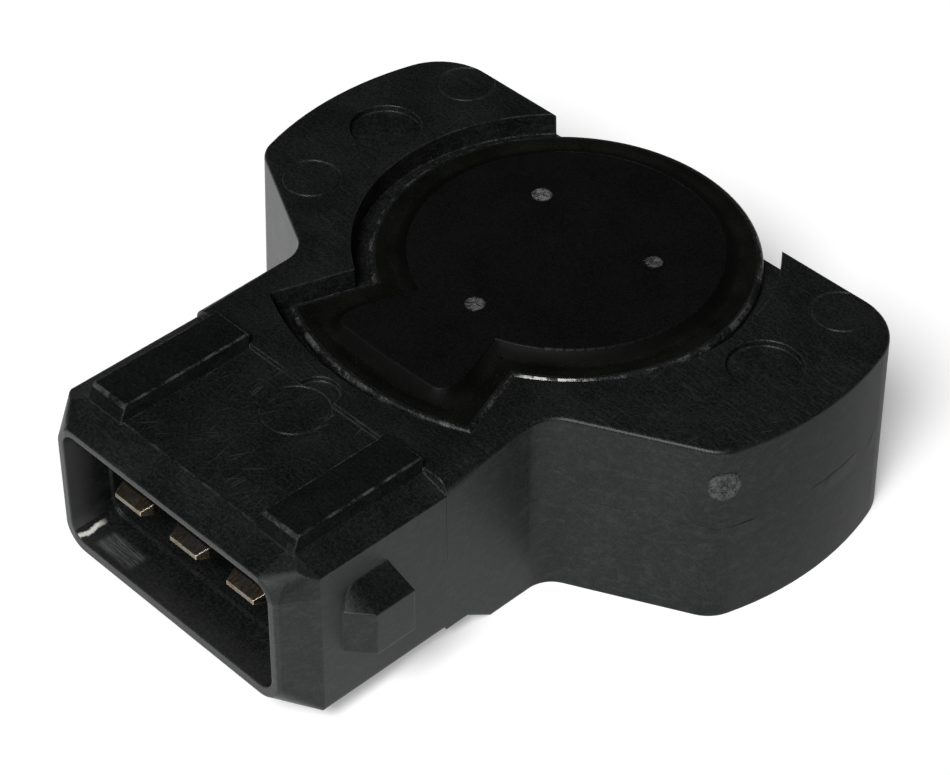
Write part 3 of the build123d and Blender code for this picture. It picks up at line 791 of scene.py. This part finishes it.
@dataclass(frozen=True)
class BladeMetal:
    """Tinned bronze strip, rubbed through to bronze, with drawn streaks along the blade."""

    tin: Colour = (0.21, 0.20, 0.19)
    bronze: Colour = (0.19, 0.148, 0.10)
    tarnish: Colour = (0.06, 0.054, 0.052)
    bright: Colour = (0.80, 0.69, 0.49)

    def material(self) -> Material:
        """Build the material.

        Returns:
            The material.
        """
        made, s, dress = new_finish("blade_metal", Metallic=1.0)
        mm = s.place()
        patch = s.noise(mm, 1.5, 3.0, 0.6)
        streak = s.noise(s.place((7.0, 0.6, 7.0)), 1.0, 3.0, 0.6)
        rounded = s.bevel(0.1)
        edge = s.edge(s.bevel(0.17))
        body = s.mix(patch.ease(0.42, 0.62), self.tin, self.bronze)
        dirt = (streak * 0.6 + patch * 0.4).ease(0.52, 0.7)
        colour = s.mix(dirt * 0.75, body, self.tarnish)
        colour = s.mix(edge * 0.8, colour, self.bright)
        dress(
            Base_Color=colour,
            Roughness=0.26 + streak * 0.2 + dirt * 0.15,
            Normal=s.bump(streak, 0.02, rounded, 0.5),
        )
        return made


@dataclass(frozen=True)
class TurnedMetal:
    """Metal turned on a lathe, with fine rings about its own axis."""

    name: str
    bright: Colour
    dull: Colour
    centre: Pair = (0.0, 0.0)
    pitch: float = 0.12
    roughness: float = 0.26

    def material(self) -> Material:
        """Build the material.

        Returns:
            The material.
        """
        made, s, dress = new_finish(self.name, Metallic=1.0)
        mm = s.place(shift=(-self.centre[0], -self.centre[1], 0.0))
        at = s.spot(mm)
        wobble = s.noise(mm, 1.2, 2.0)
        phase = (at.reach() + at.z) * (math.tau / self.pitch) + wobble * 3.0
        rings = s.node("ShaderNodeMath", {"operation": "SINE"}, {0: phase})
        stain = s.noise(mm, 0.7, 3.0, 0.6).ease(0.45, 0.7)
        colour = s.mix(stain * 0.6, self.bright, self.dull)
        dress(
            Base_Color=colour,
            Roughness=self.roughness + stain * 0.15 + wobble * 0.1,
            Normal=s.bump(rings * 0.5 + 0.5, 0.01, s.bevel(0.06), 0.35),
        )
        return made


@dataclass(frozen=True)
class SpringWire:
    """Drawn spring steel or bronze with streaks and faint heat tint."""

    name: str
    bright: Colour
    tint: Colour

    def material(self) -> Material:
        """Build the material.

        Returns:
            The material.
        """
        made, s, dress = new_finish(self.name, Metallic=1.0)
        mm = s.place()
        streak = s.noise(s.place((9.0, 2.0, 9.0)), 1.0, 3.0, 0.6)
        tint = s.noise(mm, 0.5, 2.0).ease(0.4, 0.7)
        dress(
            Base_Color=s.mix(tint * 0.5, self.bright, self.tint),
            Roughness=0.24 + streak * 0.16,
            Normal=s.bump(streak, 0.01, s.bevel(0.04), 0.4),
        )
        return made


@dataclass(frozen=True)
class RotorPlastic:
    """Natural bearing plastic, faintly mottled, with patches of grease film."""

    pale: Colour = (0.62, 0.60, 0.53)
    warm: Colour = (0.50, 0.46, 0.37)
    grease: Colour = (0.20, 0.16, 0.09)

    def material(self) -> Material:
        """Build the material.

        Returns:
            The material.
        """
        made, s, dress = new_finish("rotor_plastic_finish", IOR=1.48, Specular_IOR_Level=0.45)
        mm = s.place()
        mottle = s.noise(mm, 0.8, 4.0, 0.6)
        grain = s.noise(mm, 8.0, 2.0)
        rounded = s.bevel(0.1)
        film = s.noise(mm, 1.4, 3.0).ease(0.56, 0.7)
        shade = s.mix(mottle.ease(0.35, 0.65), self.pale, self.warm)
        dress(
            Base_Color=s.mix(film * 0.35, shade, self.grease),
            Roughness=0.42 + grain * 0.15 - film * 0.15,
            Normal=s.bump(grain, 0.02, rounded, 0.4),
        )
        return made


@dataclass(frozen=True)
class SealRubber:
    """Matt black rubber with a dusty bloom."""

    dark: Colour = (0.012, 0.012, 0.013)
    bloom: Colour = (0.045, 0.045, 0.043)

    def material(self) -> Material:
        """Build the material.

        Returns:
            The material.
        """
        made, s, dress = new_finish("seal_rubber_finish", IOR=1.5, Specular_IOR_Level=0.3)
        mm = s.place()
        dust = s.noise(mm, 1.1, 4.0, 0.65).ease(0.4, 0.75)
        grain = s.noise(mm, 10.0, 2.0)
        dress(
            Base_Color=s.mix(dust * 0.6, self.dark, self.bloom),
            Roughness=0.62 + grain * 0.15,
            Normal=s.bump(grain, 0.02, None, 0.4),
        )
        return made


@dataclass(frozen=True)
class BoardLaminate:
    """Green laminate with a faint weave."""

    green: Colour = (0.035, 0.11, 0.05)
    fibre: Colour = (0.09, 0.18, 0.09)

    def material(self) -> Material:
        """Build the material.

        Returns:
            The material.
        """
        made, s, dress = new_finish("board_laminate", IOR=1.5, Specular_IOR_Level=0.5)
        threads = {"Vector": s.place(), "Scale": 2.0}
        warp, weft = [s.node("ShaderNodeTexWave", {"bands_direction": each}, threads, "Fac") for each in "XY"]
        weave = warp * weft
        dress(
            Base_Color=s.mix(weave * 0.5, self.green, self.fibre),
            Roughness=0.35 + weave * 0.1,
            Normal=s.bump(weave, 0.01, s.bevel(0.05), 0.3),
        )
        return made


@dataclass(frozen=True)
class PrintedCarbon:
    """Matt printed resistance film with screen texture."""

    ink: Colour = (0.014, 0.014, 0.015)
    worn: Colour = (0.05, 0.05, 0.052)

    def material(self) -> Material:
        """Build the material.

        Returns:
            The material.
        """
        made, s, dress = new_finish("printed_carbon", IOR=1.6, Specular_IOR_Level=0.5)
        mm = s.place()
        screen = s.noise(mm, 6.0, 3.0, 0.6)
        rub = s.noise(mm, 0.9, 2.0).ease(0.5, 0.7)
        dress(
            Base_Color=s.mix(rub * 0.5, self.ink, self.worn),
            Roughness=0.5 - rub * 0.15 + screen * 0.1,
            Normal=s.bump(screen, 0.005, None, 0.5),
        )
        return made


@dataclass(frozen=True)
class SolderTin:
    """Satin solder with a flux stain."""

    tin: Colour = (0.66, 0.66, 0.64)
    stain: Colour = (0.30, 0.25, 0.14)

    def material(self) -> Material:
        """Build the material.

        Returns:
            The material.
        """
        made, s, dress = new_finish("solder_tin", Metallic=1.0)
        mm = s.place()
        frost = s.noise(mm, 5.0, 3.0, 0.6)
        flux = s.noise(mm, 1.2, 2.0).ease(0.5, 0.7)
        dress(
            Base_Color=s.mix(flux * 0.4, self.tin, self.stain),
            Roughness=0.25 + frost * 0.25,
            Normal=s.bump(frost, 0.02, None, 0.5),
        )
        return made


def deselect() -> None:
    """Clear the selection, in object mode."""
    if bpy.context.object and bpy.context.object.mode != "OBJECT":
        leave_edit()
    bpy.ops.object.select_all(action="DESELECT")


def pick(obj: Object) -> None:
    """Make one object the only selected and the active one.

    Args:
        obj: the object.
    """
    deselect()
    obj.select_set(True)
    bpy.context.view_layer.objects.active = obj


def enter_edit() -> None:
    """Start to edit the active object, with all of it selected."""
    bpy.ops.object.mode_set(mode="EDIT")
    bpy.ops.mesh.select_all(action="SELECT")


def leave_edit() -> None:
    """Go back to object mode."""
    bpy.ops.object.mode_set(mode="OBJECT")


def select(obj: Object, test: Callable[[Any], bool], part: Part = Part.FACE) -> None:
    """Select the faces or vertices that pass a test.

    Args:
        obj: object in edit mode.
        test: takes a face or vertex and says if it is wanted.
        part: what is selected.
    """
    bpy.ops.mesh.select_mode(type=part.value)
    bpy.ops.mesh.select_all(action="DESELECT")
    mesh = bmesh.from_edit_mesh(obj.data)
    for each in mesh.faces if part is Part.FACE else mesh.verts:
        if test(each):
            each.select_set(True)
    mesh.select_flush_mode()
    bmesh.update_edit_mesh(obj.data)


def turn_outwards() -> None:
    """Turn all faces of the edited mesh outwards."""
    bpy.ops.mesh.select_all(action="SELECT")
    bpy.ops.mesh.normals_make_consistent(inside=False)


def apply_modifier(obj: Object, kind: str, **settings: Any) -> None:
    """Add a modifier to an object and apply it.

    Args:
        obj: the object.
        kind: the modifier's type.
        settings: the modifier's own options.
    """
    pick(obj)
    made = obj.modifiers.new(kind, kind)
    for key, value in settings.items():
        setattr(made, key, value)
    bpy.ops.object.modifier_apply(modifier=made.name)


def apply_place() -> None:
    """Move the selected object's place into its mesh."""
    bpy.ops.object.transform_apply(location=True, rotation=True, scale=True)


def smooth(crease: float) -> None:
    """Shade the selected object smooth, except at edges over an angle in degrees."""
    bpy.ops.object.shade_smooth_by_angle(angle=math.radians(crease))


def copy_of(node: str, name: str) -> Object:
    """Copy a plain solid, merged and active.

    Args:
        node: the solid's node.
        name: name of the copy.

    Returns:
        The copy, in object mode.
    """
    copy = bpy.data.objects.new(name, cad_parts[node].data.copy())
    bpy.context.scene.collection.objects.link(copy)
    pick(copy)
    bpy.ops.mesh.customdata_custom_splitnormals_clear()
    enter_edit()
    bpy.ops.mesh.remove_doubles(threshold=MERGE)
    leave_edit()
    return copy


def coat(obj: Object, material: Material) -> None:
    """Give an object one material, in every slot it has.

    Args:
        obj: the object.
        material: its new material.
    """
    if not obj.material_slots:
        obj.data.materials.append(material)
    for slot in obj.material_slots:
        slot.material = material


@dataclass
class GateScar:
    """Rough disc that a broken-off gate leaves on a surface."""

    name: str
    centre: Place
    facing: Place
    radius: float
    proud: float
    carrier: str
    seed: int
    rings: int = 4
    sides: int = 32
    sink: float = 0.12
    jitter: float = 0.06
    tear: float = 0.8
    evenness: float = 0.2
    crease: float = 50.0

    def build(self) -> Object:
        """Model the disc: inset rings, laid on its carrier, roughened and thickened.

        Returns:
            The finished object, with its place in its mesh.
        """
        deselect()
        radius = self.radius * MM
        bpy.ops.mesh.primitive_circle_add(vertices=self.sides, radius=radius, fill_type="NGON")
        scar = bpy.context.object
        scar.name = self.name
        enter_edit()
        for _ in range(self.rings):
            select(scar, self._is_middle)
            bpy.ops.mesh.inset(thickness=radius / (self.rings + 1), depth=0.0)
        select(scar, self._is_middle)
        bpy.ops.mesh.poke()
        bpy.ops.mesh.select_all(action="SELECT")
        bpy.ops.mesh.subdivide(number_cuts=1)
        bpy.ops.transform.vertex_random(offset=radius * self.jitter, uniform=1.0, seed=self.seed)
        leave_edit()
        aim = Vector(self.facing).normalized()
        scar.rotation_euler = aim.to_track_quat("Z", "Y").to_euler()
        scar.location = [each * MM for each in self.centre]
        apply_place()
        self._lay(scar, aim)
        return scar

    def _is_middle(self, face: BMFace) -> bool:
        """Whether a face is the disc's middle, which has all the sides."""
        return len(face.verts) == self.sides

    def _lay(self, scar: Object, aim: Vector) -> None:
        """Lay the disc on its carrier, roughen its face and close it below.

        Args:
            scar: the flat disc, in place.
            aim: direction out of the surface.
        """
        apply_modifier(
            scar, "SHRINKWRAP", target=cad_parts[self.carrier], wrap_method="NEAREST_SURFACEPOINT",
            wrap_mode="ABOVE_SURFACE", offset=self.proud * MM,
        )
        enter_edit()
        bpy.ops.transform.vertex_random(
            offset=self.proud * MM * self.tear, uniform=self.evenness, normal=1.0, seed=self.seed + 1
        )
        turn_outwards()
        leave_edit()
        if (scar.data.polygons[0].normal @ aim) < 0:
            enter_edit()
            bpy.ops.mesh.flip_normals()
            leave_edit()
        apply_modifier(scar, "SOLIDIFY", thickness=self.sink * MM, offset=-1.0)
        smooth(self.crease)


@dataclass
class CoverGroup:
    """Cover plate, the resin around it and the three gate scars on it."""

    plate_top: float = 12.45
    scar_radii: tuple[float, ...] = (0.68, 0.6, 0.66)
    scar_proud: float = 0.035
    scar_places: tuple[Pair, ...] = ((-4.71, 2.61), (4.95, 2.66), (0.16, -8.0))
    scar_tones: tuple[Pair, ...] = ((0.17, 0.50), (0.10, 0.51), (0.12, 0.50))
    scar_seeds: tuple[int, ...] = (11, 14, 17)
    scar_dark: Colour = (0.003, 0.0033, 0.003)
    scar_green: float = 1.04
    front_from: float = -13.3
    front_shift: float = 0.85
    flat_angle: float = 1.0
    plate_crease: float = 40.0
    resin_crease: float = 60.0
    film: float = 0.6
    film_top: float = 12.012
    meniscus: tuple[Pair, ...] = ((0.3, 0.0), (0.32, 0.006), (0.18, 0.07))
    climb: float = 0.35
    climb_reach: float = 0.7
    middle_y: float = -5.0

    def build(self) -> None:
        """Model the plate, its scars and the resin."""
        self._plate()
        self._scars()
        self._resin()

    def _plate(self) -> None:
        """Model the cover plate: the plain solid with a longer tab."""
        plate = copy_of("cover_plate", "sealed_cover_plate")
        enter_edit()
        bpy.ops.mesh.dissolve_limited(angle_limit=math.radians(self.flat_angle))
        self._stretch_front(plate)
        leave_edit()
        smooth(self.plate_crease)
        coat(plate, CoverPlastic().material())
        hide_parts("cover_plate")
        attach(plate, Body.HOUSING.value)
        LOG.info("%s built", plate.name)

    def _stretch_front(self, obj: Object, walls_only: bool = False) -> None:
        """Move the tab's front edge forward.

        Args:
            obj: object in edit mode.
            walls_only: move only what stands against the plate.
        """
        front = self.front_from * MM
        select(obj, lambda each: each.co.y < front and (not walls_only or self._on_wall(each)), Part.VERTEX)
        bpy.ops.transform.translate(value=(0.0, -self.front_shift * MM, 0.0))

    def _scars(self) -> None:
        """Model the three gate scars."""
        rows = zip(self.scar_places, self.scar_radii, self.scar_tones, self.scar_seeds)
        for index, (place, radius, (tone, coverage), seed) in enumerate(rows):
            centre = (*place, self.plate_top)
            pale = (tone, tone * self.scar_green, tone)
            finish = BrokenPlastic(f"scar_plastic_{index}", centre, radius, self.scar_dark, pale, coverage)
            scar = GateScar(
                f"cover_gate_scar_{index}", centre, UPWARDS, radius, self.scar_proud, "cover_plate", seed
            ).build()
            coat(scar, finish.material())
            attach(scar, Body.HOUSING.value)
            LOG.info("%s built", scar.name)

    def _resin(self) -> None:
        """Model the resin's skin, which climbs the plate and films over the rim."""
        skin = copy_of("potting_resin", "resin_band")
        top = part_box("potting_resin")[1][2]
        enter_edit()
        self._stretch_front(skin, walls_only=True)
        select(skin, lambda face: abs(face.normal.z) < UPRIGHT and not self._at_plate(face))
        bpy.ops.transform.shrink_fatten(value=self.film * MM, use_even_offset=True)
        select(skin, lambda face: face.normal.z > LEVEL and face.calc_center_median().z > top - NEAR)
        bpy.ops.transform.translate(value=(0.0, 0.0, self.film_top * MM - top))
        for width, drop in self.meniscus:
            bpy.ops.mesh.inset(thickness=width * MM, depth=-drop * MM, use_even_offset=True)
        edge = self.film_top * MM - NEAR
        select(skin, lambda each: each.co.z >= edge and self._on_wall(each), Part.VERTEX)
        bpy.ops.transform.translate(
            value=(0.0, 0.0, self.climb * MM), use_proportional_edit=True, proportional_edit_falloff="SHARP",
            proportional_size=self.climb_reach * MM,
        )
        leave_edit()
        smooth(self.resin_crease)
        coat(skin, PottingResin().material())
        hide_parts("potting_resin")
        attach(skin, Body.HOUSING.value)
        LOG.info("%s built", skin.name)

    def _at_plate(self, face: BMFace) -> bool:
        """Whether a face is upright and looks towards the plate."""
        towards = Vector((0.0, self.middle_y * MM, 0.0)) - face.calc_center_median()
        return abs(face.normal.z) < UPRIGHT and face.normal.x * towards.x + face.normal.y * towards.y > 0

    def _on_wall(self, vertex: BMVert) -> bool:
        """Whether a vertex is part of a face at the plate."""
        return any(self._at_plate(face) for face in vertex.link_faces)


@dataclass
class HousingGroup:
    """The moulding, with the scar of its own gate on the right ear's corner."""

    scar_centre: Place = (20.01, -7.23, 10.26)
    scar_facing: Place = (0.83, -0.56, 0.02)
    scar_radius: float = 1.05
    scar_proud: float = 0.05
    scar_seed: int = 5
    scar_dark: Colour = (0.008, 0.0086, 0.0083)
    scar_pale: Colour = (0.085, 0.09, 0.09)
    scar_coverage: float = 0.48

    def dress(self) -> None:
        """Give the moulding its finish."""
        coat(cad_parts["housing"], HousingPlastic().material())
        LOG.info("housing dressed")

    def build(self) -> None:
        """Model the gate's scar."""
        centre, radius = self.scar_centre, self.scar_radius
        scar = GateScar(
            "ear_gate_scar", centre, self.scar_facing, radius, self.scar_proud, "housing", self.scar_seed
        ).build()
        finish = BrokenPlastic(
            "ear_scar_plastic", centre, radius, self.scar_dark, self.scar_pale, self.scar_coverage
        )
        coat(scar, finish.material())
        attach(scar, Body.HOUSING.value)
        LOG.info("%s built", scar.name)


@dataclass
class ConnectorGroup:
    """The three blades."""

    blades: tuple[str, ...] = ("terminal_left", "terminal_middle", "terminal_right")

    def dress(self) -> None:
        """Give the blades one worn metal."""
        metal = BladeMetal().material()
        for name in self.blades:
            coat(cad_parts[name], metal)
            LOG.info("%s dressed", name)


@dataclass
class MovementGroup:
    """Rotor, spring, bearing and element, mostly hidden inside."""

    coil_bottom: float = 3.35
    coil_top: float = 5.15
    crease: float = 40.0

    def _spring(self, steel: Material) -> None:
        """Copy the return spring as a smooth piece in the wire's finish.

        Args:
            steel: finish of the wire.
        """
        spring = copy_of("return_spring", "winding_return_spring")
        smooth(self.crease)
        coat(spring, steel)
        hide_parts("return_spring")
        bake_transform(spring)
        LOG.info("%s built", spring.name)

    def dress(self) -> None:
        """Give each inner piece its finish."""
        steel = SpringWire("spring_steel_wire", (0.56, 0.56, 0.55), (0.40, 0.33, 0.22)).material()
        self._spring(steel)
        bronze = SpringWire("spring_bronze_leaf", (0.66, 0.48, 0.25), (0.45, 0.28, 0.13))
        washer = TurnedMetal("washer_steel", (0.55, 0.55, 0.55), (0.35, 0.33, 0.30))
        bush = TurnedMetal("bush_bronze_finish", (0.50, 0.34, 0.16), (0.28, 0.18, 0.09))
        carbon = PrintedCarbon().material()
        finishes = {
            "rotor": RotorPlastic().material(),
            "drive_clip": steel,
            "thrust_washer": washer.material(),
            "wiper": bronze.material(),
            "bearing_bush": bush.material(),
            "element_board": BoardLaminate().material(),
            "resistor_track": carbon,
            "collector_track": carbon,
            "solder_joints": SolderTin().material(),
            "face_seal": SealRubber().material(),
        }
        for name, material in finishes.items():
            coat(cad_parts[name], material)
            LOG.info("%s dressed", name)


@dataclass
class InsertGroup:
    """Threaded brass inserts in the ears, open at the mounting face."""

    reach: float = 16.4
    radius: float = 2.8
    length: float = 8.0
    crest: float = 1.65
    root: float = 1.98
    pitch: float = 0.7
    spare_turns: int = 2
    waist: float = 2.5
    waist_length: float = 1.2
    lead: float = 0.3
    overrun: float = 0.12
    flank: float = 0.44
    outer_share: float = 0.9
    sides: int = 64
    steps: int = 36
    crease: float = 30.0
    bright: Colour = (0.66, 0.47, 0.19)
    dull: Colour = (0.40, 0.27, 0.11)
    turning_pitch: float = 0.14
    roughness: float = 0.28

    def build(self) -> None:
        """Model one insert and copy it to both ears."""
        blank = self._blank()
        self._cut_thread(blank)
        for side, node in ((-1, "insert_left"), (1, "insert_right")):
            place = side * self.reach
            copy = blank.copy()
            copy.data = blank.data.copy()
            bpy.context.scene.collection.objects.link(copy)
            copy.name = f"threaded_{node}"
            copy.location.x = place * MM
            pick(copy)
            apply_place()
            smooth(self.crease)
            brass = TurnedMetal(
                f"{node}_brass", self.bright, self.dull, (place, 0.0), self.turning_pitch, self.roughness
            )
            coat(copy, brass.material())
            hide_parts(node)
            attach(copy, Body.HOUSING.value)
            LOG.info("%s built", copy.name)
        bpy.data.objects.remove(blank)

    def _blank(self) -> Object:
        """Model the plain insert on the Z axis: a bored bar with a waist and a lead chamfer.

        Returns:
            The blank.
        """
        deselect()
        half = self.length * MM / 2
        bpy.ops.mesh.primitive_cylinder_add(
            vertices=self.sides, radius=self.radius * MM, depth=2 * half, location=(0.0, 0.0, half)
        )
        blank = bpy.context.object
        blank.name = "insert_blank"
        apply_place()
        enter_edit()
        select(blank, lambda face: abs(face.normal.z) > LEVEL)
        bpy.ops.mesh.inset(thickness=(self.radius - self.crest - self.lead) * MM, depth=0.0)
        bpy.ops.mesh.inset(thickness=self.lead * MM, depth=-self.lead * MM)
        bpy.ops.mesh.bridge_edge_loops()
        for side in (-1, 1):
            cut = half + side * self.waist_length * MM / 2
            bpy.ops.mesh.select_all(action="SELECT")
            bpy.ops.mesh.bisect(plane_co=(0.0, 0.0, cut), plane_no=UPWARDS)
        select(blank, lambda face: self._on_waist(face, half))
        bpy.ops.mesh.extrude_region_shrink_fatten(
            TRANSFORM_OT_shrink_fatten={"value": (self.waist - self.radius) * MM}
        )
        turn_outwards()
        leave_edit()
        return blank

    def _on_waist(self, face: BMFace, middle: float) -> bool:
        """Whether a face is on the outside, at the waist.

        Args:
            face: the face.
            middle: height of the waist's middle.

        Returns:
            True if it is.
        """
        centre = face.calc_center_median()
        outside = math.hypot(centre.x, centre.y) > self.radius * MM * self.outer_share
        beside = abs(centre.z - middle) < self.waist_length * MM / 2
        return outside and beside and abs(face.normal.z) < UPRIGHT

    def _cut_thread(self, blank: Object) -> None:
        """Cut the thread with a coil of triangular section.

        Args:
            blank: the plain insert.
        """
        deselect()
        bpy.ops.mesh.primitive_circle_add(vertices=3, radius=1.0, rotation=(math.pi / 2, 0.0, 0.0))
        coil = bpy.context.object
        apply_place()
        inner = self.crest - self.overrun
        half = self.flank * self.pitch
        corners = ((self.root, 0.0, 0.0), (inner, 0.0, half), (inner, 0.0, -half))
        for vertex, place in zip(coil.data.vertices, corners):
            vertex.co = Vector(place) * MM - Vector((0.0, 0.0, self.pitch * MM))
        apply_modifier(
            coil, "SCREW", axis="Z", screw_offset=self.pitch * MM, steps=self.steps, render_steps=self.steps,
            iterations=math.ceil(self.length / self.pitch) + self.spare_turns,
        )
        enter_edit()
        bpy.ops.mesh.remove_doubles(threshold=MERGE)
        bpy.ops.mesh.select_mode(type="EDGE")
        bpy.ops.mesh.select_all(action="DESELECT")
        bpy.ops.mesh.select_non_manifold()
        bpy.ops.mesh.fill()
        turn_outwards()
        leave_edit()
        apply_modifier(blank, "BOOLEAN", operation="DIFFERENCE", solver="EXACT", object=coil)
        bpy.data.objects.remove(coil)


@dataclass
class Studio:
    """White floor, soft light and the camera."""

    floor_radius: float = 6.0
    floor_sides: int = 128
    floor_drop: float = 0.00002
    floor_colour: Colour = (0.86, 0.86, 0.86)
    floor_glow: float = 0.34
    paper_level: float = 1.06
    paper_far: float = 0.12
    paper_reach: Pair = (220.0, 70.0)
    shade_across: Pair = (-6.0, 16.0)
    shade_along: Pair = (-36.0, 14.0)
    shade_depth: float = 0.55
    sky_dim: float = 0.03
    sky_horizon: float = 0.6
    sky_hush: float = 0.85
    sky_band: Pair = (0.24, 0.02)
    key_from: Place = (0.30, -0.80, 0.95)
    key_power: float = 3.2
    key_angle: float = 24.0
    eye: Place = (99.17966, -105.27152, 126.55257)
    right: Place = (0.6959842, 0.7180114, 0.0081053)
    down: Place = (0.4756028, -0.4524967, -0.7543532)
    ahead: Place = (-0.5379665, 0.5288728, -0.6564187)
    focal_pixels: float = 2975.219
    clip: Pair = (0.005, 50.0)

    def build(self) -> None:
        """Set up the floor, the light and the camera."""
        self._floor()
        self._sky()
        self._lamps()
        self._camera()

    def _floor(self) -> None:
        """Lay the floor and give it its paper finish."""
        deselect()
        bpy.ops.mesh.primitive_circle_add(
            vertices=self.floor_sides, radius=self.floor_radius, fill_type="NGON",
            location=(0.0, 0.0, -self.floor_drop),
        )
        floor = bpy.context.object
        floor.name = "studio_floor"
        material = bpy.data.materials.new("floor_paper")
        material.use_nodes = True
        s = Sheet(material.node_tree)
        path = s.node("ShaderNodeLightPath", output="Is Camera Ray")
        paper = s.node("ShaderNodeBsdfDiffuse", None, {"Color": (*self.floor_colour, 1.0)})
        shown = path | path.twin("Is Transmission Ray")
        glow = s.node("ShaderNodeEmission", None, {"Strength": shown * self.floor_glow})
        lit = s.node("ShaderNodeAddShader", None, {0: paper, 1: glow})
        sheen = s.node("ShaderNodeEmission", None, {"Strength": self._sheen(s)})
        both = s.node("ShaderNodeMixShader", None, {0: path.twin("Is Glossy Ray"), 1: lit, 2: sheen})
        s.close(both, "ShaderNodeOutputMaterial")
        floor.data.materials.append(material)
        LOG.info("floor laid")

    def _sheen(self, s: Sheet) -> Socket:
        """Level of the paper in reflections: white near the part, dimmer far off and to its back right.

        Args:
            s: the floor's sheet.

        Returns:
            The level.
        """
        at = s.spot(s.place())
        near = at.reach().ease(*self.paper_reach)
        shade = at.x.ease(*self.shade_across) * at.y.ease(*self.shade_along)
        level = near * (1.0 - self.paper_far) + self.paper_far
        return level * (1.0 - shade * self.shade_depth) * self.paper_level

    def _sky(self) -> None:
        """Light the world: pale near the horizon, dim overhead."""
        world = bpy.data.worlds.new("studio_sky")
        world.use_nodes = True
        bpy.context.scene.world = world
        s = Sheet(world.node_tree)
        height = s.spot(s.node("ShaderNodeTexCoord", output="Generated")).z
        low = height.ease(*self.sky_band)
        mirrored = s.node("ShaderNodeLightPath", output="Is Glossy Ray")
        grey = low * (self.sky_horizon - self.sky_dim) * (1.0 - mirrored * self.sky_hush) + self.sky_dim
        shine = s.node("ShaderNodeBackground", None, {"Color": (1.0, 1.0, 1.0, 1.0), "Strength": grey})
        s.close(shine, "ShaderNodeOutputWorld")

    def _lamps(self) -> None:
        """Hang the soft key light beside the camera."""
        data = bpy.data.lights.new("key_light", "SUN")
        data.energy = self.key_power
        data.angle = math.radians(self.key_angle)
        lamp = bpy.data.objects.new("key_light", data)
        lamp.rotation_euler = Vector(self.key_from).to_track_quat("Z", "Y").to_euler()
        bpy.context.scene.collection.objects.link(lamp)

    def _camera(self) -> None:
        """Set the camera at the photograph's place."""
        data = bpy.data.cameras.new("photo_camera")
        data.sensor_fit = "HORIZONTAL"
        data.sensor_width = SENSOR_WIDTH
        data.lens = self.focal_pixels * SENSOR_WIDTH / PHOTO_WIDTH
        data.clip_start, data.clip_end = self.clip
        camera = bpy.data.objects.new("photo_camera", data)
        axes = (Vector(self.right), -Vector(self.down), -Vector(self.ahead))
        turn = Matrix(axes).transposed().to_4x4()
        camera.matrix_world = Matrix.Translation(Vector(self.eye) * MM) @ turn
        bpy.context.scene.collection.objects.link(camera)
        bpy.context.scene.camera = camera
        bpy.context.scene.view_settings.view_transform = "Standard"


def main() -> None:
    """Build the groups in order."""
    logging.basicConfig(level=logging.INFO, format="%(message)s")
    housing = HousingGroup()
    housing.dress()
    housing.build()
    CoverGroup().build()
    ConnectorGroup().dress()
    MovementGroup().dress()
    InsertGroup().build()
    Studio().build()


if __name__ == "__main__":
    main()
